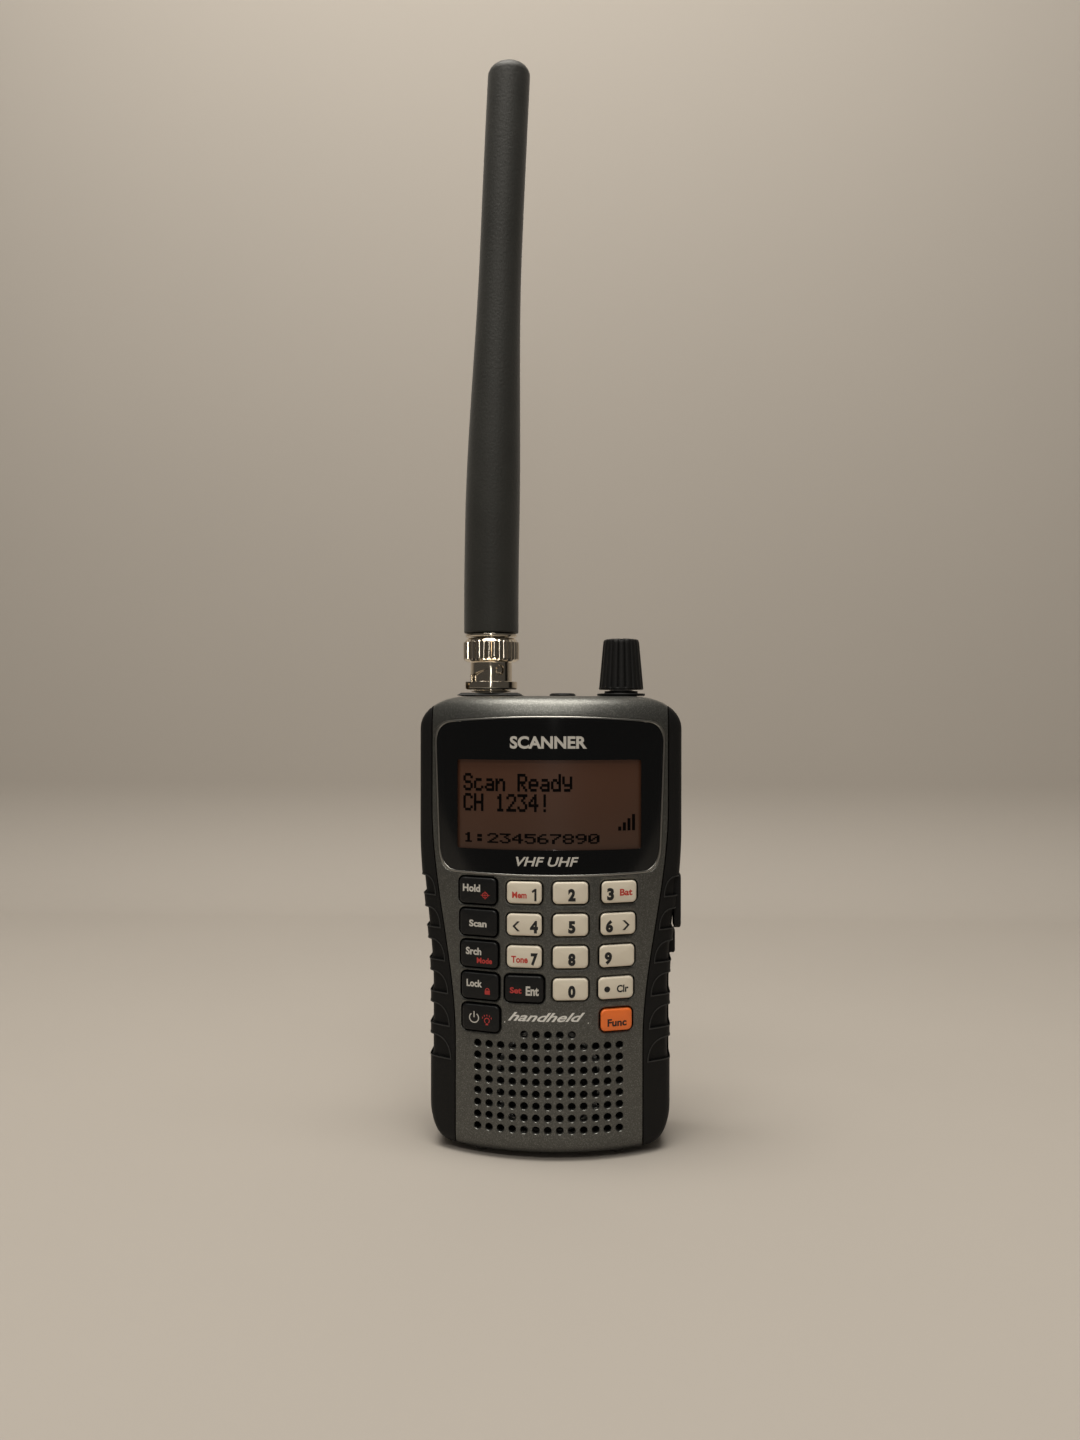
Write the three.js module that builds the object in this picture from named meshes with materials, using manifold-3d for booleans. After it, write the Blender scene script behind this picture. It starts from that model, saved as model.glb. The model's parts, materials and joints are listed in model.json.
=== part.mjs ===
// Handheld radio scanner: two case halves with soft side grips, a display, an 18-key keypad, a
// speaker, two AA cells under a sliding door, a volume knob and a rubber antenna on a bayonet
// connector. Millimetres, +Z up, +X to the user's right, the front face towards -Y.

import * as THREE from 'three';
import { mergeVertices } from 'three/addons/utils/BufferGeometryUtils.js';
import Module from 'manifold-3d';

const wasm = await Module();
wasm.setup();

// ---------------------------------------------------------------- driving dimensions

const GAP = 0.3; // clearance kept between pieces that touch
const REACH = 40; // longer than any cut has to be
const QUARTER = Math.PI / 2;

const CASE_BOTTOM = 1.1;
const CASE_TOP = 114;
const CASE_FRONT_Y = -15.6;
const CASE_BACK_Y = 16.4;
const SHOULDER_HALF_WIDTH = 33.5;
const FOOT_HALF_WIDTH = 30.4;
const WAIST_LOW = 40; // the sides narrow between these two heights
const WAIST_HIGH = 80;
const FRONT_RADIUS = 50; // the front face is an arc about a vertical axis
const FRONT_CORNER = 3.5;
const BACK_CORNER = 5;
const TOP_ROUND_WIDE = 12;
const TOP_ROUND_DEEP = 5;
const TOP_ROUND_HIGH = 8;
const FOOT_ROUND_WIDE = 6.4;
const FOOT_ROUND_DEEP = 4;
const FOOT_ROUND_HIGH = 10;
const LEAST_ROUND = 0.6;
const PARTING_Y = -2; // the front and rear cases meet here

const GRIP_THICK = 1.6;
const GRIP_BACK_Y = 7;
const WALL_THICK = 2;
const GRIPPED_WALL = 3.6; // outer face to inner face, where a grip lies in between
const PANEL_TOP_HALF_WIDTH = 29.9; // the painted panel between the grips
const PANEL_FOOT_HALF_WIDTH = 23.4;
const PANEL_WAIST_LOW = 28;
const PANEL_WAIST_HIGH = 86;

const LENS_MID_Z = 89.2;
const LENS_HALF_WIDTH = 28.5;
const LENS_HALF_HEIGHT = 18.65;
const LENS_THICK = 1.6;
const TRIM_WIDTH = 0.6;
const LENS_SEAT = 2.2;
const KEYPAD_TOP_Z = LENS_MID_Z - LENS_HALF_HEIGHT - 2;
const KEYPAD_MARGIN = 1.2; // from the panel's edge to the room behind the keys
const WINDOW_HALF_WIDTH = 22.9;
const WINDOW_LOW_Z = 76.1;
const WINDOW_HIGH_Z = 98.2;
const LCD_HALF_WIDTH = 23.2;
const LCD_LOW_Z = 73.6;
const LCD_HIGH_Z = 101.4;
const LCD_FRONT_Y = -6.2;
const LCD_BACK_Y = -4.8;
const LCD_HOLDER_HALF_WIDTH = 24.2;
const LCD_HOLDER_LIP = 1; // how far the holder reaches past the glass above and below
const LCD_HOLDER_WELL = { halfWidth: 22, edge: 2, depth: 0.8 };

const KEY_COLUMNS_X = [-17.5, -5.8, 5.5, 17.4]; // at the top row
const KEY_COLUMN_LEAN = [0.2, 0, 0, -0.27]; // outer columns draw in by this much per row
const KEY_TOP_ROW_Z = 65.75;
const KEY_ROW_PITCH = 7.85;
const PALE_KEY = { width: 8.6, height: 5.3 };
const DARK_KEY = { width: 9.5, height: 6.4 };
const FUNC_KEY = { width: 7.7, height: 5.3 };
const FUNC_KEY_SHIFT = 0.4; // it stands a little right of its column
const KEY_PROUD = 0.8;
const KEY_FIT = 0.2;
const KEY_SKIRT = 0.35; // how far a key's skirt reaches past its opening
const KEY_SKIRT_DEPTH = 2.35;
const KEY_BACK_Y = -6.3;
const KEY_CHAMFER = 1.1;

const HOLE_PITCH = 2.92;
const HOLE_RADIUS = 0.9;
const HOLE_COLUMNS = 13;
const HOLE_ROWS = 8;
const HOLE_SHORT_ROW = 5;
const HOLE_FOOT_Z = 7.6;
const HOLE_SIDES = 6;

const SPEAKER_Z = 18.6;
const MAGNET = { radius: 6.8, front: -6.4, back: -2.4 };
const BOARD = { halfWidth: 23, low: 32, high: 103, front: -2.9, back: -1.3 };
const MEMBRANE = { halfWidth: 22, low: 33, high: 68, front: -5.2, back: -4.2 };
const RIBBON = { left: -20, right: -14, low: 60, high: 66 }; // from the membrane to the board
const SHIELD = { left: -20, right: 2, low: 72, high: 97, back: 2.2, wall: 0.6 };

const DOOR_HALF_WIDTH = 18.2;
const DOOR_TOP_Z = 64;
const DOOR_THICK = 1.8;
const BAY_HALF_WIDTH = 15.7;
const BAY_RAIL = 4;
const BAY_LOW_Z = 6.5;
const BAY_HIGH_Z = 61.5;
const BAY_FLOOR_Y = -0.15;
const BAY_FLOOR_THICK = 0.8;
const CELL_RADIUS = 7.1;
const CELL_LENGTH = 49.2;
const CELL_X = 7.75;
const CELL_Y = 7.2;
const CELL_LOW_Z = 9.4;
const CELL_NIPPLE = { radius: 2.7, tall: 1.2 };
const CONTACT_HALF_WIDTH = 14;
const CONTACT_HALF_DEPTH = 5;
const CONTACT_HIGH_Z = 60.1; // the lower face of the upper contacts

const SCREW_PLACES = [
  [-27, 106.2],
  [27, 106.2],
  [-23.4, 9.5],
  [23.4, 9.5],
];
const SCREW_SEAT_Y = 11.5;
const SCREW_TIP_Y = -4.1;
const SCREW_HEAD_RADIUS = 2.3;
const SCREW_HEAD_TALL = 1.9;
const SCREW_SHANK_RADIUS = 1.1;
const DRIVE = { reach: 1.3, half: 0.3, bottom: 1.2 };
const PILLAR_RADIUS = 3;

const FOOT_X = 16.8;
const FOOT_FRONT_Y = -6.5;
const FOOT_REAR_Y = 9;
const FOOT_RADIUS = 1.9;
const FOOT_TALL = 1.9;

const ANTENNA_X = -15.6;
const CONTROL_Y = 3; // depth of the antenna, the earphone jack and the knob
const TOP_HOLE_LOW_Z = 103; // the holes for them run down to here
const BASE_PLATE = { halfWidth: 8.3, halfDepth: 7, top: 115 };
const SOCKET_NECK_RADIUS = 4.2;
const SOCKET_BARREL_RADIUS = 4.5;
const SOCKET_TOP_Z = 124;
const STUD_RADIUS = 0.9;
const STUD_REACH = 5.3;
const STUD_Z = 120.9;
const STUD_TURN = 0.5; // from straight ahead towards +X, in radians
const NUT_LOW_Z = 115.9;
const NUT_HIGH_Z = 129.2;
const NUT_KNURL_RADIUS = 7.25;
const NUT_BORE = SOCKET_BARREL_RADIUS + GAP;
const NUT_LIFT = 2.5;
const KNURL_COUNT = 22;
const ANTENNA_LOW_Z = 130.6;
const ANTENNA_HIGH_Z = 278.8;
const ANTENNA_BASE_RADIUS = 7.1;
const ANTENNA_TIP_RADIUS = 5.5;
const ANTENNA_TAPER_LOW_Z = 160; // it slims between these two heights
const ANTENNA_TAPER_HIGH_Z = 230;
const ANTENNA_TIP_LEAN = 4.7;
const ANTENNA_LEAN_LOW_Z = 140;
const ANTENNA_LEAN_POWER = 1.5;
const CORE_RADIUS = 2.5; // the plug's stem inside the rubber
const CORE_TOP_Z = 145;
const PIN = { radius: 0.68, low: 119, high: 125.7 };

const KNOB_X = 18.2;
const KNOB_LOW_Z = 115.9;
const KNOB_HIGH_Z = 129;
const KNOB_BASE_RADIUS = 5.8;
const KNOB_TOP_RADIUS = 4.7;
const KNOB_FLUTES = 18;
const BUSH_RADIUS = 4;
const SHAFT_RADIUS = 3;
const SHAFT_TOP_Z = 126;
const ENCODER = { halfWidth: 5.3, front: -4, back: 5.5, low: 102.4, high: 108.7 };
const JACK_X = 3;
const JACK_RADIUS = 2.8;

const USB_Z = 62;
const USB_Y = 0.9;
const USB_COVER_LOW_Z = 55.2;
const USB_COVER_HIGH_Z = 69;
const USB_COVER_HALF_DEPTH = 3.8;
const USB_COVER_FACE_X = 33.3;
const USB_COVER_BACK_X = 31.6;
const USB_TONGUE = { left: 29.2, halfDepth: 1.4, halfHeight: 3.1 };
const USB_ANCHOR = { left: 30.4, right: 31.9, halfDepth: 2.2, low: 48.6 };
const USB_SOCKET = { left: 20.6, right: 28.1, halfDepth: 1.9, halfHeight: 3.9, wall: 0.4 };
const USB_MOUTH_X = 23; // how deep the socket is open

// ---------------------------------------------------------------- materials

function finish(color, roughness, metalness) {
  return { color, roughness, metalness };
}

const FINISHES = {
  painted: finish(0x45453f, 0.42, 0.35),
  black: finish(0x161616, 0.6, 0),
  rubber: finish(0x101112, 0.8, 0),
  gloss: finish(0x050506, 0.08, 0),
  silver: finish(0x9a9a98, 0.3, 0.8),
  liquid: finish(0x4b3226, 0.3, 0),
  pale: finish(0xcdc3af, 0.5, 0),
  dark: finish(0x1a1b1c, 0.55, 0),
  orange: finish(0xeb6e2d, 0.5, 0),
  membrane: finish(0x8a8d90, 0.7, 0),
  board: finish(0x1f5a35, 0.5, 0),
  nickel: finish(0xb9ae9c, 0.22, 1),
  steel: finish(0x8c8c8c, 0.35, 1),
  brass: finish(0xc9a24c, 0.3, 1),
  paper: finish(0x1c1c1e, 0.9, 0),
  ferrite: finish(0x35373a, 0.6, 0.2),
  insulator: finish(0xe9e6dd, 0.5, 0),
  cell: finish(0x2f6f9f, 0.4, 0.2),
};

// ---------------------------------------------------------------- solids

// A closed three.js geometry as a solid that can be cut and joined.
function toSolid(geometry) {
  const bare = geometry.clone();
  bare.deleteAttribute('normal');
  bare.deleteAttribute('uv');
  const merged = mergeVertices(bare);
  const index = merged.index.array;
  const corners = [];
  for (let i = 0; i < index.length; i += 3) {
    const [a, b, c] = [index[i], index[i + 1], index[i + 2]];
    if (a !== b && b !== c && c !== a) {
      corners.push(a, b, c);
    }
  }
  const vertProperties = Float32Array.from(merged.attributes.position.array);
  const solid = new wasm.Manifold(
    new wasm.Mesh({ numProp: 3, vertProperties, triVerts: Uint32Array.from(corners) }),
  );
  if (solid.volume() > 0) {
    return solid;
  }
  return new wasm.Manifold(
    new wasm.Mesh({ numProp: 3, vertProperties, triVerts: Uint32Array.from(corners.reverse()) }),
  );
}

function toGeometry(solid) {
  const mesh = solid.getMesh();
  const geometry = new THREE.BufferGeometry();
  geometry.setAttribute('position', new THREE.BufferAttribute(mesh.vertProperties, 3));
  geometry.setIndex(new THREE.BufferAttribute(mesh.triVerts, 1));
  geometry.computeVertexNormals();
  return geometry;
}

function joined(solids) {
  return solids.reduce((whole, solid) => whole.add(solid));
}

function box(low, high) {
  const size = high.map((value, axis) => value - low[axis]);
  const middle = high.map((value, axis) => (value + low[axis]) / 2);
  return toSolid(new THREE.BoxGeometry(...size).translate(...middle));
}

// A shape drawn in the XZ plane, extruded from y = front to y = back.
function prism(shape, front, back, curveSegments = 3) {
  const options = { depth: back - front, bevelEnabled: false, curveSegments };
  const geometry = new THREE.ExtrudeGeometry(shape, options);
  return toSolid(geometry.rotateX(QUARTER).translate(0, back, 0));
}

// A rod along +Y at (x, z).
function rod(radius, front, back, x, z, sides = 12) {
  const geometry = new THREE.CylinderGeometry(radius, radius, back - front, sides);
  return toSolid(geometry.translate(x, (front + back) / 2, z));
}

// A post along +Z at (x, y).
function post(radius, low, high, x = 0, y = 0, sides = 18) {
  const geometry = new THREE.CylinderGeometry(radius, radius, high - low, sides);
  return toSolid(geometry.rotateX(QUARTER).translate(x, y, (low + high) / 2));
}

// A profile of [radius, height] pairs turned about the Y axis.
function turnedAboutY(profile, sides) {
  const points = profile.map(([radius, height]) => new THREE.Vector2(radius, height));
  return toSolid(new THREE.LatheGeometry(points, sides));
}

// The same profile turned about the Z axis.
function turned(profile, sides = 18) {
  const points = profile.map(([radius, height]) => new THREE.Vector2(radius, height));
  return toSolid(new THREE.LatheGeometry(points, sides).rotateX(QUARTER));
}

// A skin over rings of equally many points, closed by a flat fan at each end.
function loft(rings) {
  const count = rings[0].length;
  const positions = rings.flat().flatMap((point) => [point.x, point.y, point.z]);
  const index = [];
  for (let level = 0; level + 1 < rings.length; level += 1) {
    for (let i = 0; i < count; i += 1) {
      const a = level * count + i;
      const b = level * count + ((i + 1) % count);
      index.push(a, b, b + count, a, b + count, a + count);
    }
  }
  const top = (rings.length - 1) * count;
  for (let i = 1; i + 1 < count; i += 1) {
    index.push(0, i + 1, i, top, top + i, top + i + 1);
  }
  const geometry = new THREE.BufferGeometry();
  geometry.setAttribute('position', new THREE.Float32BufferAttribute(positions, 3));
  geometry.setIndex(index);
  return toSolid(geometry);
}

function roundedRectangle(left, right, low, high, radius) {
  const shape = new THREE.Shape();
  shape.moveTo(left + radius, low);
  shape.lineTo(right - radius, low);
  shape.absarc(right - radius, low + radius, radius, -QUARTER, 0);
  shape.lineTo(right, high - radius);
  shape.absarc(right - radius, high - radius, radius, 0, QUARTER);
  shape.lineTo(left + radius, high);
  shape.absarc(left + radius, high - radius, radius, QUARTER, 2 * QUARTER);
  shape.lineTo(left, low + radius);
  shape.absarc(left + radius, low + radius, radius, 2 * QUARTER, 3 * QUARTER);
  return shape;
}

// ---------------------------------------------------------------- case form

// 0 below low, 1 above high, and an S-curve in between.
function ease(low, high, value) {
  const t = THREE.MathUtils.clamp((value - low) / (high - low), 0, 1);
  return t * t * (3 - 2 * t);
}

function caseHalfWidth(z) {
  return THREE.MathUtils.lerp(FOOT_HALF_WIDTH, SHOULDER_HALF_WIDTH, ease(WAIST_LOW, WAIST_HIGH, z));
}

function panelHalfWidth(z) {
  const t = ease(PANEL_WAIST_LOW, PANEL_WAIST_HIGH, z);
  return THREE.MathUtils.lerp(PANEL_FOOT_HALF_WIDTH, PANEL_TOP_HALF_WIDTH, t);
}

// How far an elliptical edge round has drawn the wall in, at a height above the edge.
function roundCut(height, wide, high) {
  if (height >= high) {
    return 0;
  }
  return wide * (1 - Math.sqrt(1 - (1 - height / high) ** 2));
}

function shrunk(radius, inset) {
  return Math.max(radius - inset, LEAST_ROUND);
}

// Points of an arc, both ends included. Angles run from -Y towards +X.
function arcPoints(x, y, z, radius, from, to, steps) {
  const points = [];
  for (let i = 0; i <= steps; i += 1) {
    const angle = from + ((to - from) * i) / steps;
    points.push(new THREE.Vector3(x + radius * Math.sin(angle), y - radius * Math.cos(angle), z));
  }
  return points;
}

// The case's outline at height z, drawn in all round by the inset.
function caseSection(z, inset) {
  const frontSteps = 8;
  const cornerSteps = 3;
  const above = z - CASE_BOTTOM - inset;
  const below = CASE_TOP - inset - z;
  const footHigh = shrunk(FOOT_ROUND_HIGH, inset);
  const topHigh = shrunk(TOP_ROUND_HIGH, inset);
  const sideCut = roundCut(above, shrunk(FOOT_ROUND_WIDE, inset), footHigh)
    + roundCut(below, shrunk(TOP_ROUND_WIDE, inset), topHigh);
  const faceCut = roundCut(above, shrunk(FOOT_ROUND_DEEP, inset), shrunk(FOOT_ROUND_DEEP, inset))
    + roundCut(below, shrunk(TOP_ROUND_DEEP, inset), topHigh);
  const halfWidth = caseHalfWidth(z) - inset - sideCut;
  const back = CASE_BACK_Y - inset - faceCut;
  const radius = FRONT_RADIUS - inset - faceCut;
  const arcY = FRONT_RADIUS + CASE_FRONT_Y;
  const frontCorner = shrunk(FRONT_CORNER, inset);
  const backCorner = shrunk(BACK_CORNER, inset);
  const cornerX = halfWidth - frontCorner;
  const cornerY = arcY - Math.sqrt((radius - frontCorner) ** 2 - cornerX ** 2);
  const sweep = Math.atan2(cornerX, arcY - cornerY);
  const backX = halfWidth - backCorner;
  const backY = back - backCorner;
  const end = 4 * QUARTER - sweep;
  return [
    ...arcPoints(0, arcY, z, radius, -sweep, sweep, frontSteps),
    ...arcPoints(cornerX, cornerY, z, frontCorner, sweep, QUARTER, cornerSteps).slice(1),
    ...arcPoints(backX, backY, z, backCorner, QUARTER, 2 * QUARTER, cornerSteps),
    ...arcPoints(-backX, backY, z, backCorner, 2 * QUARTER, 3 * QUARTER, cornerSteps),
    ...arcPoints(-cornerX, cornerY, z, frontCorner, 3 * QUARTER, end, cornerSteps).slice(0, -1),
  ];
}

// The whole case as a solid, every face moved inwards by the inset.
function caseForm(inset) {
  const roundSteps = 3;
  const waistSteps = 4;
  const footHigh = shrunk(FOOT_ROUND_HIGH, inset);
  const topHigh = shrunk(TOP_ROUND_HIGH, inset);
  const levels = [];
  for (let i = 0; i <= roundSteps; i += 1) {
    levels.push(CASE_BOTTOM + inset + footHigh * (1 - Math.cos((QUARTER * i) / roundSteps)));
  }
  for (let i = 0; i <= waistSteps; i += 1) {
    levels.push(THREE.MathUtils.lerp(WAIST_LOW, WAIST_HIGH, i / waistSteps));
  }
  for (let i = roundSteps; i >= 0; i -= 1) {
    levels.push(CASE_TOP - inset - topHigh * (1 - Math.cos((QUARTER * i) / roundSteps)));
  }
  return loft(levels.map((z) => caseSection(z, inset)));
}

// The space beside the painted panel, on the side given by its sign.
function besidePanel(sign, clearance, backY) {
  const steps = 5;
  const shape = new THREE.Shape();
  shape.moveTo(sign * REACH, -REACH);
  shape.lineTo(sign * (PANEL_FOOT_HALF_WIDTH + clearance), -REACH);
  for (let i = 0; i <= steps; i += 1) {
    const z = THREE.MathUtils.lerp(PANEL_WAIST_LOW, PANEL_WAIST_HIGH, i / steps);
    shape.lineTo(sign * (panelHalfWidth(z) + clearance), z);
  }
  shape.lineTo(sign * (PANEL_TOP_HALF_WIDTH + clearance), CASE_TOP + REACH);
  shape.lineTo(sign * REACH, CASE_TOP + REACH);
  return prism(shape, -REACH, backY);
}

// The strip inside the painted panel, between two heights.
function withinPanel(margin, low, high) {
  const steps = 5;
  const side = [];
  for (let i = 0; i <= steps; i += 1) {
    const z = THREE.MathUtils.lerp(low, high, i / steps);
    side.push(new THREE.Vector2(panelHalfWidth(z) - margin, z));
  }
  const mirrored = side.map((point) => new THREE.Vector2(-point.x, point.y)).reverse();
  return prism(new THREE.Shape([...side, ...mirrored]), -REACH, 0);
}

// The display lens outline: arched top, slightly narrower foot. grow widens it all round.
function lensOutline(grow) {
  const width = LENS_HALF_WIDTH + grow;
  const height = LENS_HALF_HEIGHT + grow;
  const high = LENS_MID_Z + height;
  const low = LENS_MID_Z - height;
  const shape = new THREE.Shape();
  shape.moveTo(-0.8 * width, low);
  shape.quadraticCurveTo(0, low - 0.8, 0.8 * width, low);
  shape.quadraticCurveTo(0.95 * width, low, 0.965 * width, LENS_MID_Z - 0.7 * height);
  shape.lineTo(width, LENS_MID_Z + 0.72 * height);
  shape.quadraticCurveTo(width, high - 0.6, 0.84 * width, high - 0.4);
  shape.quadraticCurveTo(0, high + 1.5, -0.84 * width, high - 0.4);
  shape.quadraticCurveTo(-width, high - 0.6, -width, LENS_MID_Z + 0.72 * height);
  shape.lineTo(-0.965 * width, LENS_MID_Z - 0.7 * height);
  shape.quadraticCurveTo(-0.95 * width, low, -0.8 * width, low);
  return shape;
}

const outerForm = caseForm(0);
const grippedForm = caseForm(GRIP_THICK + GAP);
const wallForm = caseForm(WALL_THICK);
const grippedWallForm = caseForm(GRIPPED_WALL);
const gripZones = [-1, 1].map((sign) => besidePanel(sign, -GAP / 2, GRIP_BACK_Y + GAP));
const caseOutside = outerForm.subtract(joined(gripZones)).add(grippedForm);
const keypadRoom = withinPanel(KEYPAD_MARGIN, CASE_BOTTOM, KEYPAD_TOP_Z);
const rearRoom = box([-REACH, GRIP_BACK_Y + 2, -REACH], [REACH, REACH, CASE_TOP]);
const caseInside = grippedWallForm
  .add(wallForm.intersect(keypadRoom))
  .add(wallForm.intersect(rearRoom));
const frontHalf = box([-REACH, -REACH, -REACH], [REACH, PARTING_Y - GAP / 2, CASE_TOP + REACH]);
const rearHalf = box([-REACH, PARTING_Y + GAP / 2, -REACH], [REACH, REACH, CASE_TOP + REACH]);

// ---------------------------------------------------------------- keypad layout

const KEY_ROWS = [
  ['hold', '1', '2', '3'],
  ['scan', '4', '5', '6'],
  ['search', '7', '8', '9'],
  ['lockout', 'program', '0', 'clear'],
  ['power', null, null, 'func'],
];
const DARK_KEYS = ['hold', 'scan', 'search', 'lockout', 'power', 'program'];

function keySize(label) {
  if (label === 'func') {
    return FUNC_KEY;
  }
  return DARK_KEYS.includes(label) ? DARK_KEY : PALE_KEY;
}

function keyPlaces() {
  const places = [];
  KEY_ROWS.forEach((row, rowIndex) => {
    row.forEach((label, column) => {
      if (label !== null) {
        const size = keySize(label);
        const shift = label === 'func' ? FUNC_KEY_SHIFT : 0;
        const x = KEY_COLUMNS_X[column] + KEY_COLUMN_LEAN[column] * rowIndex + shift;
        const z = KEY_TOP_ROW_Z - KEY_ROW_PITCH * rowIndex;
        places.push({ label, size, x, z });
      }
    });
  });
  return places;
}

// The square outline of a key's hidden skirt.
function skirtOutline({ size, x, z }) {
  const width = size.width / 2 + KEY_FIT + KEY_SKIRT;
  const height = size.height / 2 + KEY_FIT + KEY_SKIRT;
  const corners = [[-1, -1], [1, -1], [1, 1], [-1, 1]];
  return new THREE.Shape(corners.map(([sx, sz]) => (
    new THREE.Vector2(x + sx * width, z + sz * height)
  )));
}

// A key's outline with chamfered corners, grown all round.
function keyOutline({ size, x, z }, grow) {
  const width = size.width / 2 + grow;
  const height = size.height / 2 + grow;
  const inner = [width - KEY_CHAMFER, height - KEY_CHAMFER];
  const corners = [
    [inner[0], -height],
    [width, -inner[1]],
    [width, inner[1]],
    [inner[0], height],
    [-inner[0], height],
    [-width, inner[1]],
    [-width, -inner[1]],
    [-inner[0], -height],
  ];
  return new THREE.Shape(corners.map(([dx, dz]) => new THREE.Vector2(x + dx, z + dz)));
}

const keys = keyPlaces();

// ---------------------------------------------------------------- case pieces

function speakerHoles() {
  const holes = [];
  const high = HOLE_FOOT_Z + (HOLE_ROWS - 1) * HOLE_PITCH;
  for (let row = 0; row <= HOLE_ROWS; row += 1) {
    const count = row === HOLE_ROWS ? HOLE_SHORT_ROW : HOLE_COLUMNS;
    const z = row === HOLE_ROWS ? high + HOLE_PITCH : HOLE_FOOT_Z + row * HOLE_PITCH;
    for (let i = 0; i < count; i += 1) {
      const x = (i - (count - 1) / 2) * HOLE_PITCH;
      holes.push(rod(HOLE_RADIUS, CASE_FRONT_Y - 2, BOARD.front - 4, x, z, HOLE_SIDES));
    }
  }
  return joined(holes);
}

function lensPocket() {
  const room = prism(lensOutline(TRIM_WIDTH + GAP), -REACH, 0, 4);
  return room.subtract(caseForm(LENS_SEAT));
}

function windowOpening(margin, front, back) {
  const left = -WINDOW_HALF_WIDTH - margin;
  const low = WINDOW_LOW_Z - margin;
  const high = WINDOW_HIGH_Z + margin;
  return prism(roundedRectangle(left, -left, low, high, 1), front, back);
}

function pillars(front, back) {
  return joined(SCREW_PLACES.map(([x, z]) => rod(PILLAR_RADIUS, front, back, x, z)));
}

function pilotHoles(front, back, radius) {
  return joined(SCREW_PLACES.map(([x, z]) => rod(radius, front, back, x, z)));
}

function footWells(y) {
  const wells = [-1, 1].map((side) => (
    post(FOOT_RADIUS + GAP, 0, FOOT_TALL + GAP, side * FOOT_X, y, 12)
  ));
  return joined(wells);
}

function frontCase() {
  const openings = joined(keys.map((key) => prism(keyOutline(key, KEY_FIT), -REACH, KEY_BACK_Y)));
  const bosses = pillars(CASE_FRONT_Y, REACH).intersect(grippedForm).intersect(frontHalf);
  const display = prism(lensOutline(0), -REACH, 0);
  const lcdRoom = box(
    [-LCD_HALF_WIDTH - GAP, LCD_FRONT_Y - GAP, LCD_LOW_Z - GAP],
    [LCD_HALF_WIDTH + GAP, 0, LCD_HIGH_Z + GAP],
  );
  return caseOutside
    .subtract(caseInside)
    .intersect(frontHalf)
    .add(bosses)
    .subtract(lensPocket())
    .subtract(lcdRoom)
    .subtract(pilotHoles(SCREW_TIP_Y - GAP, 0, SCREW_SHANK_RADIUS + GAP))
    .subtract(windowOpening(1, -REACH, 0).intersect(display))
    .subtract(openings)
    .subtract(speakerHoles())
    .subtract(footWells(FOOT_FRONT_Y));
}

function topHole(radius, x) {
  return post(radius + GAP, TOP_HOLE_LOW_Z, CASE_TOP + 1, x, CONTROL_Y);
}

function rearCase() {
  const shell = caseOutside.subtract(caseInside).intersect(rearHalf);
  const bosses = pillars(PARTING_Y, REACH).intersect(grippedForm).intersect(rearHalf);
  const bayWidth = BAY_HALF_WIDTH + BAY_RAIL;
  const bay = box(
    [-bayWidth, BAY_FLOOR_Y - BAY_FLOOR_THICK, CASE_BOTTOM],
    [bayWidth, REACH, BAY_HIGH_Z + BAY_RAIL],
  ).intersect(outerForm);
  const bayRoom = box(
    [-BAY_HALF_WIDTH, BAY_FLOOR_Y, BAY_LOW_Z],
    [BAY_HALF_WIDTH, REACH, BAY_HIGH_Z],
  );
  const doorWidth = DOOR_HALF_WIDTH + GAP;
  const doorRoom = box(
    [-doorWidth, CASE_BACK_Y - DOOR_THICK - GAP, -REACH],
    [doorWidth, REACH, DOOR_TOP_Z + GAP],
  );
  const usbDepth = USB_SOCKET.halfDepth + GAP;
  const usbHeight = USB_SOCKET.halfHeight + 2 * GAP;
  const usbRoom = box(
    [USB_SOCKET.left, USB_Y - usbDepth, USB_Z - usbHeight],
    [REACH, USB_Y + usbDepth, USB_Z + usbHeight],
  );
  return shell
    .add(bosses)
    .add(bay)
    .subtract(bayRoom)
    .subtract(doorRoom)
    .subtract(usbRoom)
    .subtract(pilotHoles(SCREW_SEAT_Y, REACH, SCREW_HEAD_RADIUS + GAP))
    .subtract(pilotHoles(-REACH, REACH, SCREW_SHANK_RADIUS + GAP))
    .subtract(footWells(FOOT_REAR_Y))
    .subtract(topHole(SOCKET_NECK_RADIUS, ANTENNA_X))
    .subtract(topHole(BUSH_RADIUS, KNOB_X))
    .subtract(topHole(JACK_RADIUS, JACK_X));
}

function grip(sign) {
  return outerForm
    .subtract(caseForm(GRIP_THICK))
    .intersect(besidePanel(sign, GAP / 2, GRIP_BACK_Y));
}

function rightGrip() {
  const coverRoom = box(
    [0, USB_Y - USB_COVER_HALF_DEPTH - GAP, USB_COVER_LOW_Z - GAP],
    [REACH, USB_Y + USB_COVER_HALF_DEPTH + GAP, USB_COVER_HIGH_Z + GAP],
  );
  const { left, right, halfDepth, low } = USB_ANCHOR;
  const anchor = box(
    [left, USB_Y - halfDepth, low],
    [right, USB_Y + halfDepth, USB_COVER_LOW_Z - 2 * GAP],
  );
  return grip(1).subtract(coverRoom).add(anchor);
}

function batteryDoor() {
  const plate = box(
    [-DOOR_HALF_WIDTH, CASE_BACK_Y - DOOR_THICK, CASE_BOTTOM],
    [DOOR_HALF_WIDTH, REACH, DOOR_TOP_Z],
  );
  return plate.intersect(outerForm);
}

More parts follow.
